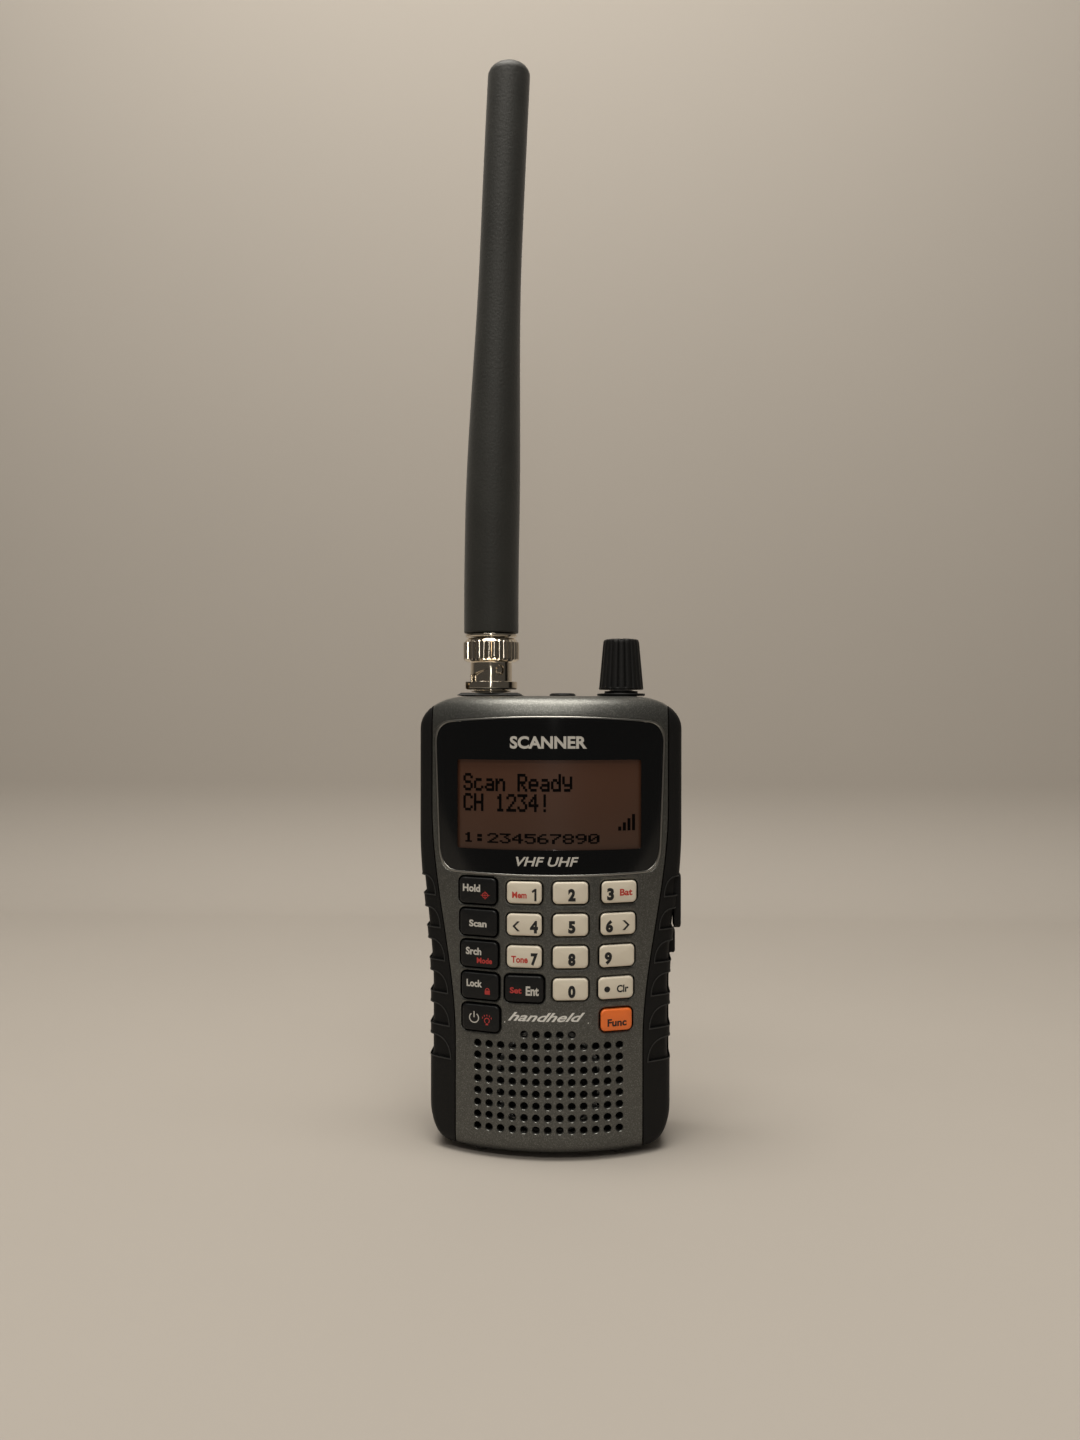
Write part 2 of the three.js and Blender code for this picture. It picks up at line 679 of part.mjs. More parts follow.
function usbCover() {
  const plate = box(
    [USB_COVER_BACK_X, USB_Y - USB_COVER_HALF_DEPTH, USB_COVER_LOW_Z],
    [USB_COVER_FACE_X, USB_Y + USB_COVER_HALF_DEPTH, USB_COVER_HIGH_Z],
  );
  const { left, halfDepth, halfHeight } = USB_TONGUE;
  const tongue = box(
    [left, USB_Y - halfDepth, USB_Z - halfHeight],
    [USB_COVER_BACK_X, USB_Y + halfDepth, USB_Z + halfHeight],
  );
  return plate.add(tongue);
}

// ---------------------------------------------------------------- display, keys and boards

function displayLens() {
  const skin = caseForm(GAP).subtract(caseForm(GAP + LENS_THICK));
  return skin.intersect(prism(lensOutline(0), -REACH, 0, 4));
}

function lensTrim() {
  const skin = outerForm.subtract(caseForm(LENS_THICK));
  const ring = prism(lensOutline(TRIM_WIDTH), -REACH, 0, 4)
    .subtract(prism(lensOutline(GAP / 2), -REACH, 0, 4));
  return skin.intersect(ring);
}

function lcdPanel() {
  return box([-LCD_HALF_WIDTH, LCD_FRONT_Y, LCD_LOW_Z], [LCD_HALF_WIDTH, LCD_BACK_Y, LCD_HIGH_Z]);
}

function lcdHolder() {
  const { halfWidth, edge, depth } = LCD_HOLDER_WELL;
  const frame = box(
    [-LCD_HOLDER_HALF_WIDTH, LCD_BACK_Y + GAP, LCD_LOW_Z - LCD_HOLDER_LIP],
    [LCD_HOLDER_HALF_WIDTH, BOARD.front - GAP, LCD_HIGH_Z + LCD_HOLDER_LIP],
  );
  const well = box(
    [-halfWidth, LCD_BACK_Y, LCD_LOW_Z + edge],
    [halfWidth, LCD_BACK_Y + depth, LCD_HIGH_Z - edge],
  );
  return frame.subtract(well);
}

function keySolid(key, capForm, skirtForm) {
  const cap = prism(keyOutline(key, 0), -REACH, KEY_BACK_Y).intersect(capForm);
  const skirt = prism(skirtOutline(key), -REACH, KEY_BACK_Y);
  return cap.add(skirt.intersect(skirtForm));
}

function keypadMembrane() {
  const { halfWidth, low, high, front, back } = MEMBRANE;
  const sheet = prism(roundedRectangle(-halfWidth, halfWidth, low, high, 2), front, back);
  const ribbon = box(
    [RIBBON.left, (front + back) / 2, RIBBON.low],
    [RIBBON.right, BOARD.front - GAP, RIBBON.high],
  );
  return sheet.add(ribbon);
}

function mainBoard() {
  const { halfWidth, low, high, front, back } = BOARD;
  const sheet = prism(roundedRectangle(-halfWidth, halfWidth, low, high, 1.5), front, back);
  return sheet.subtract(rod(1.2, front - 1, back + 1, 0, low + 4));
}

function rfShield() {
  const { left, right, low, high, back, wall } = SHIELD;
  const can = box([left, BOARD.back + GAP, low], [right, back, high]);
  const hollow = box(
    [left + wall, BOARD.back - wall, low + wall],
    [right - wall, back - wall, high - wall],
  );
  return can.subtract(hollow);
}

// ---------------------------------------------------------------- speaker

function speakerFrame() {
  const profile = [
    [13.4, -11.2],
    [13.4, -10],
    [9, -6.7],
    [5.6, -6.7],
    [5.6, -7.5],
    [8.6, -7.5],
    [12.5, -10.4],
    [12.5, -11.2],
    [13.4, -11.2],
  ];
  return turnedAboutY(profile, 20);
}

function speakerCone() {
  const profile = [
    [0, -8.2],
    [3, -8.2],
    [12.1, -10.9],
    [12.1, -11.4],
    [3.6, -9],
    [2, -9.8],
    [0, -10.1],
  ];
  return turnedAboutY(profile, 20);
}

// ---------------------------------------------------------------- batteries

function batteryCell() {
  const profile = [
    [0, 0],
    [CELL_RADIUS, 0],
    [CELL_RADIUS, CELL_LENGTH],
    [CELL_NIPPLE.radius, CELL_LENGTH],
    [CELL_NIPPLE.radius, CELL_LENGTH + CELL_NIPPLE.tall],
    [0, CELL_LENGTH + CELL_NIPPLE.tall],
  ];
  return turned(profile, 20);
}

// A metal strip across both cells, between two heights.
function contactStrip(low, high) {
  return box(
    [-CONTACT_HALF_WIDTH, CELL_Y - CONTACT_HALF_DEPTH, low],
    [CONTACT_HALF_WIDTH, CELL_Y + CONTACT_HALF_DEPTH, high],
  );
}

// ---------------------------------------------------------------- controls on the top face

function antennaBase() {
  const { halfWidth, halfDepth, top } = BASE_PLATE;
  const plate = box([-halfWidth, -halfDepth, CASE_TOP + GAP], [halfWidth, halfDepth, top]);
  return plate.subtract(post(SOCKET_NECK_RADIUS + GAP, CASE_TOP, top + 1));
}

function bayonetStud(turn) {
  const stud = rod(STUD_RADIUS, -STUD_REACH, 1 - SOCKET_BARREL_RADIUS, 0, STUD_Z, 10);
  return stud.rotate([0, 0, THREE.MathUtils.radToDeg(turn)]);
}

function antennaSocket() {
  const profile = [
    [0, 104],
    [SOCKET_NECK_RADIUS, 104],
    [SOCKET_NECK_RADIUS, 115.3],
    [5.2, 115.3],
    [5.2, 115.6],
    [SOCKET_BARREL_RADIUS, 115.6],
    [SOCKET_BARREL_RADIUS, SOCKET_TOP_Z],
    [3.6, SOCKET_TOP_Z],
    [3.6, 117],
    [0, 117],
  ];
  return turned(profile).add(bayonetStud(STUD_TURN)).add(bayonetStud(STUD_TURN + Math.PI));
}

function socketInsulator() {
  const profile = [
    [0, 117.3],
    [2.4, 117.3],
    [2.4, 122.5],
    [1, 122.5],
    [1, 118.4],
    [0, 118.4],
  ];
  return turned(profile, 16);
}

// A ring whose rim rises and falls once for each rib.
function ribbedRing(radius, depth, z, ribs) {
  const ring = [];
  for (let i = 0; i < 2 * ribs; i += 1) {
    const reach = i % 2 === 0 ? radius : radius - depth;
    const angle = (Math.PI * i) / ribs;
    ring.push(new THREE.Vector3(reach * Math.cos(angle), reach * Math.sin(angle), z));
  }
  return ring;
}

// One bayonet track: a quarter turn that drops by the lift, then a straight way out.
function bayonetTrack(turn) {
  const steps = 9;
  const half = STUD_RADIUS + GAP + 0.05;
  const cuts = [];
  for (let i = 0; i <= steps; i += 1) {
    const z = STUD_Z - (NUT_LIFT * i) / steps;
    const low = i === steps ? NUT_LOW_Z - 1 : z - half;
    const cut = box([-half, -NUT_KNURL_RADIUS - 1, low], [half, -3, z + half]);
    cuts.push(cut.rotate([0, 0, THREE.MathUtils.radToDeg(turn - (QUARTER * i) / steps)]));
  }
  return joined(cuts);
}

function couplingNut() {
  const sleeve = [
    [NUT_BORE, NUT_LOW_Z],
    [6.45, NUT_LOW_Z],
    [6.8, NUT_LOW_Z + 0.4],
    [6.8, 117.8],
    [5.4, 118.2],
    [5.4, 123],
    [6.4, 123.4],
    [6.4, 126],
    [NUT_BORE, 126],
    [NUT_BORE, NUT_LOW_Z],
  ];
  const knurl = loft([
    ribbedRing(6.5, 0.2, 123, KNURL_COUNT),
    ribbedRing(NUT_KNURL_RADIUS, 0.35, 123.9, KNURL_COUNT),
    ribbedRing(NUT_KNURL_RADIUS, 0.35, 128.7, KNURL_COUNT),
    ribbedRing(6.5, 0.2, NUT_HIGH_Z, KNURL_COUNT),
  ]);
  const chamber = joined([
    post(NUT_BORE, NUT_LOW_Z - 1, NUT_HIGH_Z + 1),
    post(5.7, 125, 128.2),
  ]);
  return turned(sleeve)
    .add(knurl)
    .subtract(chamber)
    .subtract(bayonetTrack(STUD_TURN))
    .subtract(bayonetTrack(STUD_TURN + Math.PI));
}

function springWasher() {
  const profile = [
    [4.75, 126.6],
    [5.4, 126.6],
    [5.4, 127.8],
    [4.75, 127.8],
    [4.75, 126.6],
  ];
  return turned(profile);
}

function plugBody() {
  const profile = [
    [1, 124.4],
    [4.4, 124.4],
    [4.4, 125.3],
    [5.3, 125.3],
    [5.3, 126.3],
    [4.4, 126.3],
    [4.4, 129.5],
    [6.7, 129.5],
    [6.7, 130.3],
    [CORE_RADIUS, 130.3],
    [CORE_RADIUS, CORE_TOP_Z],
    [0, CORE_TOP_Z],
    [0, 126],
    [1, 126],
    [1, 124.4],
  ];
  return turned(profile);
}

function antennaRadius(z) {
  const t = ease(ANTENNA_TAPER_LOW_Z, ANTENNA_TAPER_HIGH_Z, z);
  return THREE.MathUtils.lerp(ANTENNA_BASE_RADIUS, ANTENNA_TIP_RADIUS, t);
}

function antennaLean(z) {
  const t = Math.max((z - ANTENNA_LEAN_LOW_Z) / (ANTENNA_HIGH_Z - ANTENNA_LEAN_LOW_Z), 0);
  return ANTENNA_TIP_LEAN * t ** ANTENNA_LEAN_POWER;
}

function antennaSleeve() {
  const sides = 16;
  const steps = 10;
  const domeSteps = 3;
  const domeHigh = 3;
  const rings = [];
  function addRing(z, radius) {
    const ring = [];
    for (let i = 0; i < sides; i += 1) {
      const angle = (2 * Math.PI * i) / sides;
      const x = antennaLean(z) + radius * Math.cos(angle);
      ring.push(new THREE.Vector3(x, radius * Math.sin(angle), z));
    }
    rings.push(ring);
  }
  const domeLow = ANTENNA_HIGH_Z - domeHigh;
  for (let i = 0; i <= steps; i += 1) {
    const z = THREE.MathUtils.lerp(ANTENNA_LOW_Z, domeLow, i / steps);
    addRing(z, antennaRadius(z));
  }
  for (let i = 1; i <= domeSteps; i += 1) {
    const t = i / domeSteps;
    addRing(domeLow + domeHigh * t, ANTENNA_TIP_RADIUS * Math.sqrt(1 - (0.85 * t) ** 2));
  }
  return loft(rings).subtract(post(CORE_RADIUS + GAP, ANTENNA_LOW_Z - 1, CORE_TOP_Z + GAP));
}

function encoderBody() {
  const { halfWidth, front, back, low, high } = ENCODER;
  return box([-halfWidth, front, low], [halfWidth, back, high]);
}

function encoderBush() {
  const profile = [
    [SHAFT_RADIUS + GAP, 109],
    [BUSH_RADIUS, 109],
    [BUSH_RADIUS, CASE_TOP + GAP],
    [6.2, CASE_TOP + GAP],
    [6.2, 114.9],
    [4.3, 114.9],
    [4.3, 115.5],
    [SHAFT_RADIUS + GAP, 115.5],
    [SHAFT_RADIUS + GAP, 109],
  ];
  return turned(profile);
}

function volumeKnob() {
  const depth = 0.4;
  const skirt = KNOB_LOW_Z + 1.2;
  const body = loft([
    ribbedRing(KNOB_BASE_RADIUS, 0.05, KNOB_LOW_Z, KNOB_FLUTES),
    ribbedRing(KNOB_BASE_RADIUS, 0.05, skirt, KNOB_FLUTES),
    ribbedRing(KNOB_BASE_RADIUS - 0.3, depth, skirt + 0.5, KNOB_FLUTES),
    ribbedRing(KNOB_TOP_RADIUS, depth, KNOB_HIGH_Z - 0.8, KNOB_FLUTES),
    ribbedRing(KNOB_TOP_RADIUS - 0.6, 0.1, KNOB_HIGH_Z, KNOB_FLUTES),
  ]);
  return body.subtract(post(SHAFT_RADIUS + GAP, KNOB_LOW_Z - 1, SHAFT_TOP_Z + GAP));
}

function earphoneJack() {
  const profile = [
    [0, 98],
    [JACK_RADIUS, 98],
    [JACK_RADIUS, CASE_TOP + GAP],
    [3.4, CASE_TOP + GAP],
    [3.4, 114.8],
    [1.8, 115],
    [1.8, 100],
    [0, 100],
  ];
  return turned(profile, 16);
}

function usbSocket() {
  const { left, right, halfDepth, halfHeight, wall } = USB_SOCKET;
  const shell = box(
    [left, USB_Y - halfDepth, USB_Z - halfHeight],
    [right, USB_Y + halfDepth, USB_Z + halfHeight],
  );
  const mouth = box(
    [USB_MOUTH_X, USB_Y - halfDepth + wall, USB_Z - halfHeight + wall],
    [right + wall, USB_Y + halfDepth - wall, USB_Z + halfHeight - wall],
  );
  return shell.subtract(mouth);
}

function rearScrew() {
  const { reach, half, bottom } = DRIVE;
  const headTop = SCREW_SEAT_Y + SCREW_HEAD_TALL;
  const head = rod(SCREW_HEAD_RADIUS, SCREW_SEAT_Y + GAP, headTop, 0, 0, 16);
  const shank = rod(SCREW_SHANK_RADIUS, SCREW_TIP_Y, SCREW_SEAT_Y + 1, 0, 0, 10);
  const drive = [
    box([-reach, SCREW_SEAT_Y + bottom, -half], [reach, REACH, half]),
    box([-half, SCREW_SEAT_Y + bottom, -reach], [half, REACH, reach]),
  ];
  return head.add(shank).subtract(joined(drive));
}

// ---------------------------------------------------------------- assembly

function piece(name, solid, finishName) {
  const mesh = new THREE.Mesh(
    toGeometry(solid),
    new THREE.MeshStandardMaterial(FINISHES[finishName]),
  );
  mesh.name = name;
  return mesh;
}

function placed(mesh, x, y, z) {
  mesh.position.set(x, y, z);
  return mesh;
}

const scanner = new THREE.Group();

scanner.add(
  piece('front_case', frontCase(), 'painted'),
  piece('rear_case', rearCase(), 'black'),
  piece('left_grip', grip(-1), 'rubber'),
  piece('right_grip', rightGrip(), 'rubber'),
  piece('battery_door', batteryDoor(), 'black'),
  piece('usb_cover', usbCover(), 'rubber'),
  piece('usb_socket', usbSocket(), 'steel'),
  piece('display_lens', displayLens(), 'gloss'),
  piece('lens_trim', lensTrim(), 'silver'),
  piece('lcd_panel', lcdPanel(), 'liquid'),
  piece('lcd_holder', lcdHolder(), 'insulator'),
  piece('keypad_membrane', keypadMembrane(), 'membrane'),
  piece('main_board', mainBoard(), 'board'),
  piece('rf_shield', rfShield(), 'steel'),
  placed(piece('speaker_frame', speakerFrame(), 'steel'), 0, 0, SPEAKER_Z),
  placed(piece('speaker_cone', speakerCone(), 'paper'), 0, 0, SPEAKER_Z),
  piece('speaker_magnet', rod(MAGNET.radius, MAGNET.front, MAGNET.back, 0, SPEAKER_Z, 20), 'ferrite'),
  placed(piece('battery_left', batteryCell(), 'cell'), -CELL_X, CELL_Y, CELL_LOW_Z),
  placed(piece('battery_right', batteryCell(), 'cell'), CELL_X, CELL_Y, CELL_LOW_Z),
  piece('battery_contact_low', contactStrip(BAY_LOW_Z + GAP, CELL_LOW_Z - GAP), 'nickel'),
  piece('battery_contact_high', contactStrip(CONTACT_HIGH_Z, BAY_HIGH_Z - GAP), 'nickel'),
  placed(piece('earphone_jack', earphoneJack(), 'black'), JACK_X, CONTROL_Y, 0),
);

const capForm = caseForm(-KEY_PROUD);
const skirtForm = caseForm(KEY_SKIRT_DEPTH)
  .intersect(withinPanel(KEYPAD_MARGIN + GAP, CASE_BOTTOM, KEYPAD_TOP_Z - GAP));
keys.forEach((key) => {
  const finishName = key.label === 'func' ? 'orange' : 'pale';
  const keyFinish = key.size === DARK_KEY ? 'dark' : finishName;
  scanner.add(piece(`key_${key.label}`, keySolid(key, capForm, skirtForm), keyFinish));
});

SCREW_PLACES.forEach(([x, z], i) => {
  scanner.add(placed(piece(`rear_screw_${i + 1}`, rearScrew(), 'steel'), x, 0, z));
});

[['front', FOOT_FRONT_Y], ['rear', FOOT_REAR_Y]].forEach(([row, y]) => {
  [['left', -FOOT_X], ['right', FOOT_X]].forEach(([side, x]) => {
    const foot = post(FOOT_RADIUS, 0, FOOT_TALL, 0, 0, 12);
    scanner.add(placed(piece(`foot_${row}_${side}`, foot, 'rubber'), x, y, 0));
  });
});

const antenna = new THREE.Group();
antenna.position.set(ANTENNA_X, CONTROL_Y, 0);
antenna.add(
  piece('antenna_base', antennaBase(), 'black'),
  piece('antenna_socket', antennaSocket(), 'nickel'),
  piece('socket_insulator', socketInsulator(), 'insulator'),
  piece('coupling_nut', couplingNut(), 'nickel'),
  piece('spring_washer', springWasher(), 'steel'),
  piece('plug_body', plugBody(), 'nickel'),
  piece('centre_pin', post(PIN.radius, PIN.low, PIN.high, 0, 0, 10), 'brass'),
  piece('antenna_sleeve', antennaSleeve(), 'rubber'),
);
scanner.add(antenna);

const volume = new THREE.Group();
volume.position.set(KNOB_X, CONTROL_Y, 0);
volume.add(
  piece('encoder_body', encoderBody(), 'black'),
  piece('encoder_bush', encoderBush(), 'nickel'),
  piece('encoder_shaft', post(SHAFT_RADIUS, ENCODER.high + GAP, SHAFT_TOP_Z, 0, 0, 16), 'steel'),
  piece('volume_knob', volumeKnob(), 'black'),
);
scanner.add(volume);

export default scanner;
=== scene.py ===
"""Looks of the handheld radio scanner: fine shells, keys, legends, display, antenna and materials."""
import json
import math

import bmesh
import bpy
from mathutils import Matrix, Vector


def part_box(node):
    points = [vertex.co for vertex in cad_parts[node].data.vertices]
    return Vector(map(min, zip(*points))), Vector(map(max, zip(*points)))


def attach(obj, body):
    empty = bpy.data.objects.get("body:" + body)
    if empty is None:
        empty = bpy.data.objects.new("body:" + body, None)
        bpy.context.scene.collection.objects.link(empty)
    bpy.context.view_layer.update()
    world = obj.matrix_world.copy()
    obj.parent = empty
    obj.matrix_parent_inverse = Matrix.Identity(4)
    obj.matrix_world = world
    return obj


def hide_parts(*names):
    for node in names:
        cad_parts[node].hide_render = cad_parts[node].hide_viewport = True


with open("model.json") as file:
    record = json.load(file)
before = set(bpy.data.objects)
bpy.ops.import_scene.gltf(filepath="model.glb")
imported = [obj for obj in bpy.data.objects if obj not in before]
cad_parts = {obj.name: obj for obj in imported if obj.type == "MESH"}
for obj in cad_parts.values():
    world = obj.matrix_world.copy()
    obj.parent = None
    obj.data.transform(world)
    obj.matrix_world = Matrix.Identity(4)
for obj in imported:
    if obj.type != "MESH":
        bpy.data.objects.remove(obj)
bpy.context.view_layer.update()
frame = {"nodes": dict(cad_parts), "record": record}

# ---- sizes, in millimetres

MM = 0.001
QUARTER = math.pi / 2
REACH = 60.0  # farther out than any wall of the case
OUTWARDS = 12.0  # deep enough for a flat cap to clear the curve of the front face


def box_mm(node):
    """Lowest and highest corner of a CAD node, in millimetres."""
    low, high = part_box(node)
    return low / MM, high / MM


FRONT_LOW, FRONT_HIGH = box_mm("front_case")
REAR_LOW, REAR_HIGH = box_mm("rear_case")
LENS_LOW, LENS_HIGH = box_mm("display_lens")
DOOR_LOW, DOOR_HIGH = box_mm("battery_door")
COVER_LOW, COVER_HIGH = box_mm("usb_cover")
GRIP_HIGH_Y = box_mm("left_grip")[1].y

CASE_BOTTOM = FRONT_LOW.z
CASE_TOP = FRONT_HIGH.z
FRONT_Y = FRONT_LOW.y
BACK_Y = REAR_HIGH.y
PARTING_Y = (FRONT_HIGH.y + REAR_LOW.y) / 2
SHOULDER_HALF_WIDTH = -REAR_LOW.x
FOOT_HALF_WIDTH = 30.4
WAIST = (40.0, 80.0)
FRONT_RADIUS = 50.0
ARC_Y = FRONT_RADIUS + FRONT_Y
FRONT_CORNER = 3.5
BACK_CORNER = 5.0
TOP_ROUND = (12.0, 5.0, 8.0)  # across, front to back, high
FOOT_ROUND = (6.4, 4.0, 10.0)
LEAST_ROUND = 0.6
PANEL_FOOT = 23.4
PANEL_TOP = 29.9
PANEL_WAIST = (28.0, 86.0)
GRIP_THICK = 1.6
SEAM = 0.16  # half of the visible gap between two shells

LENS_MID_Z = 89.2
LENS_HALF_WIDTH = LENS_HIGH.x
LENS_HALF_HEIGHT = 18.65
WINDOW = (22.9, 76.1, 98.2)  # half width, low, high

KEY_PROUD = 0.68
KEY_MARGIN = 0.55  # a key's hidden skirt reaches this far past its cap
KEY_ROUND = 1.15
DARK_KEYS = ("hold", "scan", "search", "lockout", "power", "program")
KEYS = sorted(name for name in frame["nodes"] if name.startswith("key_"))
KEY_HALF_HEIGHT = 2.65
DARK_KEY_HALF_HEIGHT = 3.2
SLOTS = {part["node"]: part["material_slot"] for part in frame["record"]["subparts"]}

CAP = -KEY_PROUD - 0.01  # depth of the ink on a key

STUD_TURN = 0.5  # of the bayonet studs, from straight ahead towards +X
STUD_Z = 120.9
NUT_LIFT = 2.5
NUT_LOW = box_mm("coupling_nut")[0].z

HOLE_PITCH = 2.92
HOLE_RADIUS = 0.88
HOLE_ROWS = 8
HOLE_COLUMNS = 13
HOLE_SHORT_ROW = 5
HOLE_FOOT_Z = 7.6

REAR_SCREWS = [f"rear_screw_{i}" for i in range(1, 5)]
TOP_HOLES = {"antenna_socket": 4.45, "encoder_bush": 4.25, "earphone_jack": 3.0}  # radii


# ---- form of the case


def ease(low, high, value):
    t = min(max((value - low) / (high - low), 0.0), 1.0)
    return t * t * (3 - 2 * t)


def blend(a, b, t):
    return a + (b - a) * t


def case_half_width(z):
    return blend(FOOT_HALF_WIDTH, SHOULDER_HALF_WIDTH, ease(*WAIST, z))


def panel_half_width(z):
    return blend(PANEL_FOOT, PANEL_TOP, ease(*PANEL_WAIST, z))


def round_cut(height, wide, high):
    """How far an elliptical edge round draws a wall in, at a height above the edge."""
    if height >= high:
        return 0.0
    return wide * (1 - math.sqrt(max(1 - (1 - max(height, 0.0) / high) ** 2, 0.0)))


def shrunk(radius, inset):
    return max(radius - inset, LEAST_ROUND)


def face_cut(z, inset=0.0):
    above = z - CASE_BOTTOM - inset
    below = CASE_TOP - inset - z
    foot = shrunk(FOOT_ROUND[1], inset)
    return (round_cut(above, foot, foot)
            + round_cut(below, shrunk(TOP_ROUND[1], inset), shrunk(TOP_ROUND[2], inset)))


def front_y(x, z, inset=0.0):
    """Depth of the front face at (x, z), moved inwards by the inset."""
    radius = FRONT_RADIUS - inset - face_cut(z)
    return ARC_Y - math.sqrt(radius * radius - x * x)


def arc(x, y, z, radius, start, stop, steps):
    """Points of an arc, both ends included. Angles run from -Y towards +X."""
    points = []
    for i in range(steps + 1):
        angle = start + (stop - start) * i / steps
        points.append((x + radius * math.sin(angle), y - radius * math.cos(angle), z))
    return points


def case_section(z, inset, front_steps=96, corner_steps=9):
    above = z - CASE_BOTTOM - inset
    below = CASE_TOP - inset - z
    side_cut = (round_cut(above, shrunk(FOOT_ROUND[0], inset), shrunk(FOOT_ROUND[2], inset))
                + round_cut(below, shrunk(TOP_ROUND[0], inset), shrunk(TOP_ROUND[2], inset)))
    cut = face_cut(z, inset)
    half = case_half_width(z) - inset - side_cut
    back = BACK_Y - inset - cut
    radius = FRONT_RADIUS - inset - cut
    front = shrunk(FRONT_CORNER, inset)
    rear = shrunk(BACK_CORNER, inset)
    corner_x = half - front
    corner_y = ARC_Y - math.sqrt((radius - front) ** 2 - corner_x ** 2)
    sweep = math.atan2(corner_x, ARC_Y - corner_y)
    points = arc(0, ARC_Y, z, radius, -sweep, sweep, front_steps)
    points += arc(corner_x, corner_y, z, front, sweep, QUARTER, corner_steps)[1:]
    points += arc(half - rear, back - rear, z, rear, QUARTER, 2 * QUARTER, corner_steps)
    points += arc(rear - half, back - rear, z, rear, 2 * QUARTER, 3 * QUARTER, corner_steps)
    end = 4 * QUARTER - sweep
    points += arc(-corner_x, corner_y, z, front, 3 * QUARTER, end, corner_steps)[:-1]
    return points


def case_rings(inset, round_steps=10, waist_steps=24):
    foot = shrunk(FOOT_ROUND[2], inset)
    top = shrunk(TOP_ROUND[2], inset)
    turn = [QUARTER * i / round_steps for i in range(round_steps + 1)]
    levels = [CASE_BOTTOM + inset + foot * (1 - math.cos(a)) for a in turn]
    levels += [blend(WAIST[0], WAIST[1], i / waist_steps) for i in range(waist_steps + 1)]
    levels += [CASE_TOP - inset - top * (1 - math.cos(a)) for a in reversed(turn)]
    levels.insert(round_steps + 1, (foot + WAIST[0]) / 2)
    return [case_section(z, inset) for z in levels]


# ---- mesh tools


def add_object(name, data):
    made = bpy.data.objects.new(name, data)
    bpy.context.scene.collection.objects.link(made)
    return made


def new_object(name, points, faces):
    """A mesh object from points in millimetres, with its faces turned outwards."""
    mesh = bpy.data.meshes.new(name)
    mesh.from_pydata([Vector(p) * MM for p in points], [], faces)
    tidy = bmesh.new()
    tidy.from_mesh(mesh)
    bmesh.ops.recalc_face_normals(tidy, faces=tidy.faces)
    tidy.to_mesh(mesh)
    tidy.free()
    return add_object(name, mesh)


def loft(name, rings, closed=False):
    """A skin over rings of equally many points: capped at both ends, or closed on itself."""
    count = len(rings[0])
    points = [p for ring in rings for p in ring]
    faces = []
    spans = len(rings) if closed else len(rings) - 1
    for level in range(spans):
        here = level * count
        there = ((level + 1) % len(rings)) * count
        for i in range(count):
            j = (i + 1) % count
            faces.append((here + i, here + j, there + j, there + i))
    if not closed:
        faces.append(tuple(reversed(range(count))))
        faces.append(tuple(range((len(rings) - 1) * count, len(rings) * count)))
    return new_object(name, points, faces)


def block(name, low, high):
    corners = [(x, y, z) for x in (low[0], high[0]) for y in (low[1], high[1])
               for z in (low[2], high[2])]
    faces = [(0, 1, 3, 2), (4, 6, 7, 5), (0, 4, 5, 1), (2, 3, 7, 6), (0, 2, 6, 4), (1, 5, 7, 3)]
    return new_object(name, corners, faces)


def prism(name, outline, front, back):
    """An outline of (x, z) points run from y = front to y = back."""
    return loft(name, [[(x, y, z) for x, z in outline] for y in (front, back)])


def circle(radius, count, turn=0.0):
    return [(radius * math.cos(2 * math.pi * i / count + turn),
             radius * math.sin(2 * math.pi * i / count + turn)) for i in range(count)]


def turned(name, profile, centre, count=64, along="Z"):
    """A closed profile of (radius, height) pairs turned about an axis through centre."""
    if profile[0] == profile[-1]:
        profile = profile[:-1]
    rings = []
    for radius, height in profile:
        ring = []
        for a, b in circle(max(radius, 0.001), count):
            local = (a, b, height) if along == "Z" else (a, height, -b)
            ring.append(tuple(c + d for c, d in zip(centre, local)))
        rings.append(ring)
    open_ended = profile[0][0] < 0.01 and profile[-1][0] < 0.01
    return loft(name, rings, closed=not open_ended)


def rod(name, radius, low, high, centre, count):
    """An upright cylinder between two heights."""
    return turned(name, [(0, low), (radius, low), (radius, high), (0, high)], centre, count)


def rounded(profile, radius, steps=3):
    """The (radius, height) profile with each inner corner rounded."""
    result = [profile[0]]
    for before, here, after in zip(profile, profile[1:], profile[2:]):
        here_v = Vector(here)
        toward_before = Vector(before) - here_v
        toward_after = Vector(after) - here_v
        reach = min(radius, toward_before.length * 0.45, toward_after.length * 0.45)
        start = here_v + toward_before.normalized() * reach
        stop = here_v + toward_after.normalized() * reach
        for i in range(steps + 1):
            t = i / steps
            point = start * (1 - t) ** 2 + here_v * 2 * t * (1 - t) + stop * t * t
            result.append(tuple(point))
    result.append(profile[-1])
    return result


def combine(target, cutters, operation="DIFFERENCE"):
    """Cuts, joins or intersects target with each cutter, which is used up."""
    for cutter in cutters:
        change = target.modifiers.new("shape", "BOOLEAN")
        change.operation = operation
        change.solver = "MANIFOLD"
        change.object = cutter
        bpy.context.view_layer.update()
        shaped = target.evaluated_get(bpy.context.evaluated_depsgraph_get())
        mesh = bpy.data.meshes.new_from_object(shaped)
        target.modifiers.remove(change)
        target.data = mesh
        bpy.data.objects.remove(cutter)
    return target


def joined(name, parts):
    """Separate closed parts as one mesh object."""
    whole = bmesh.new()
    for part in parts:
        whole.from_mesh(part.data)
        bpy.data.objects.remove(part)
    mesh = bpy.data.meshes.new(name)
    whole.to_mesh(mesh)
    whole.free()
    return add_object(name, mesh)


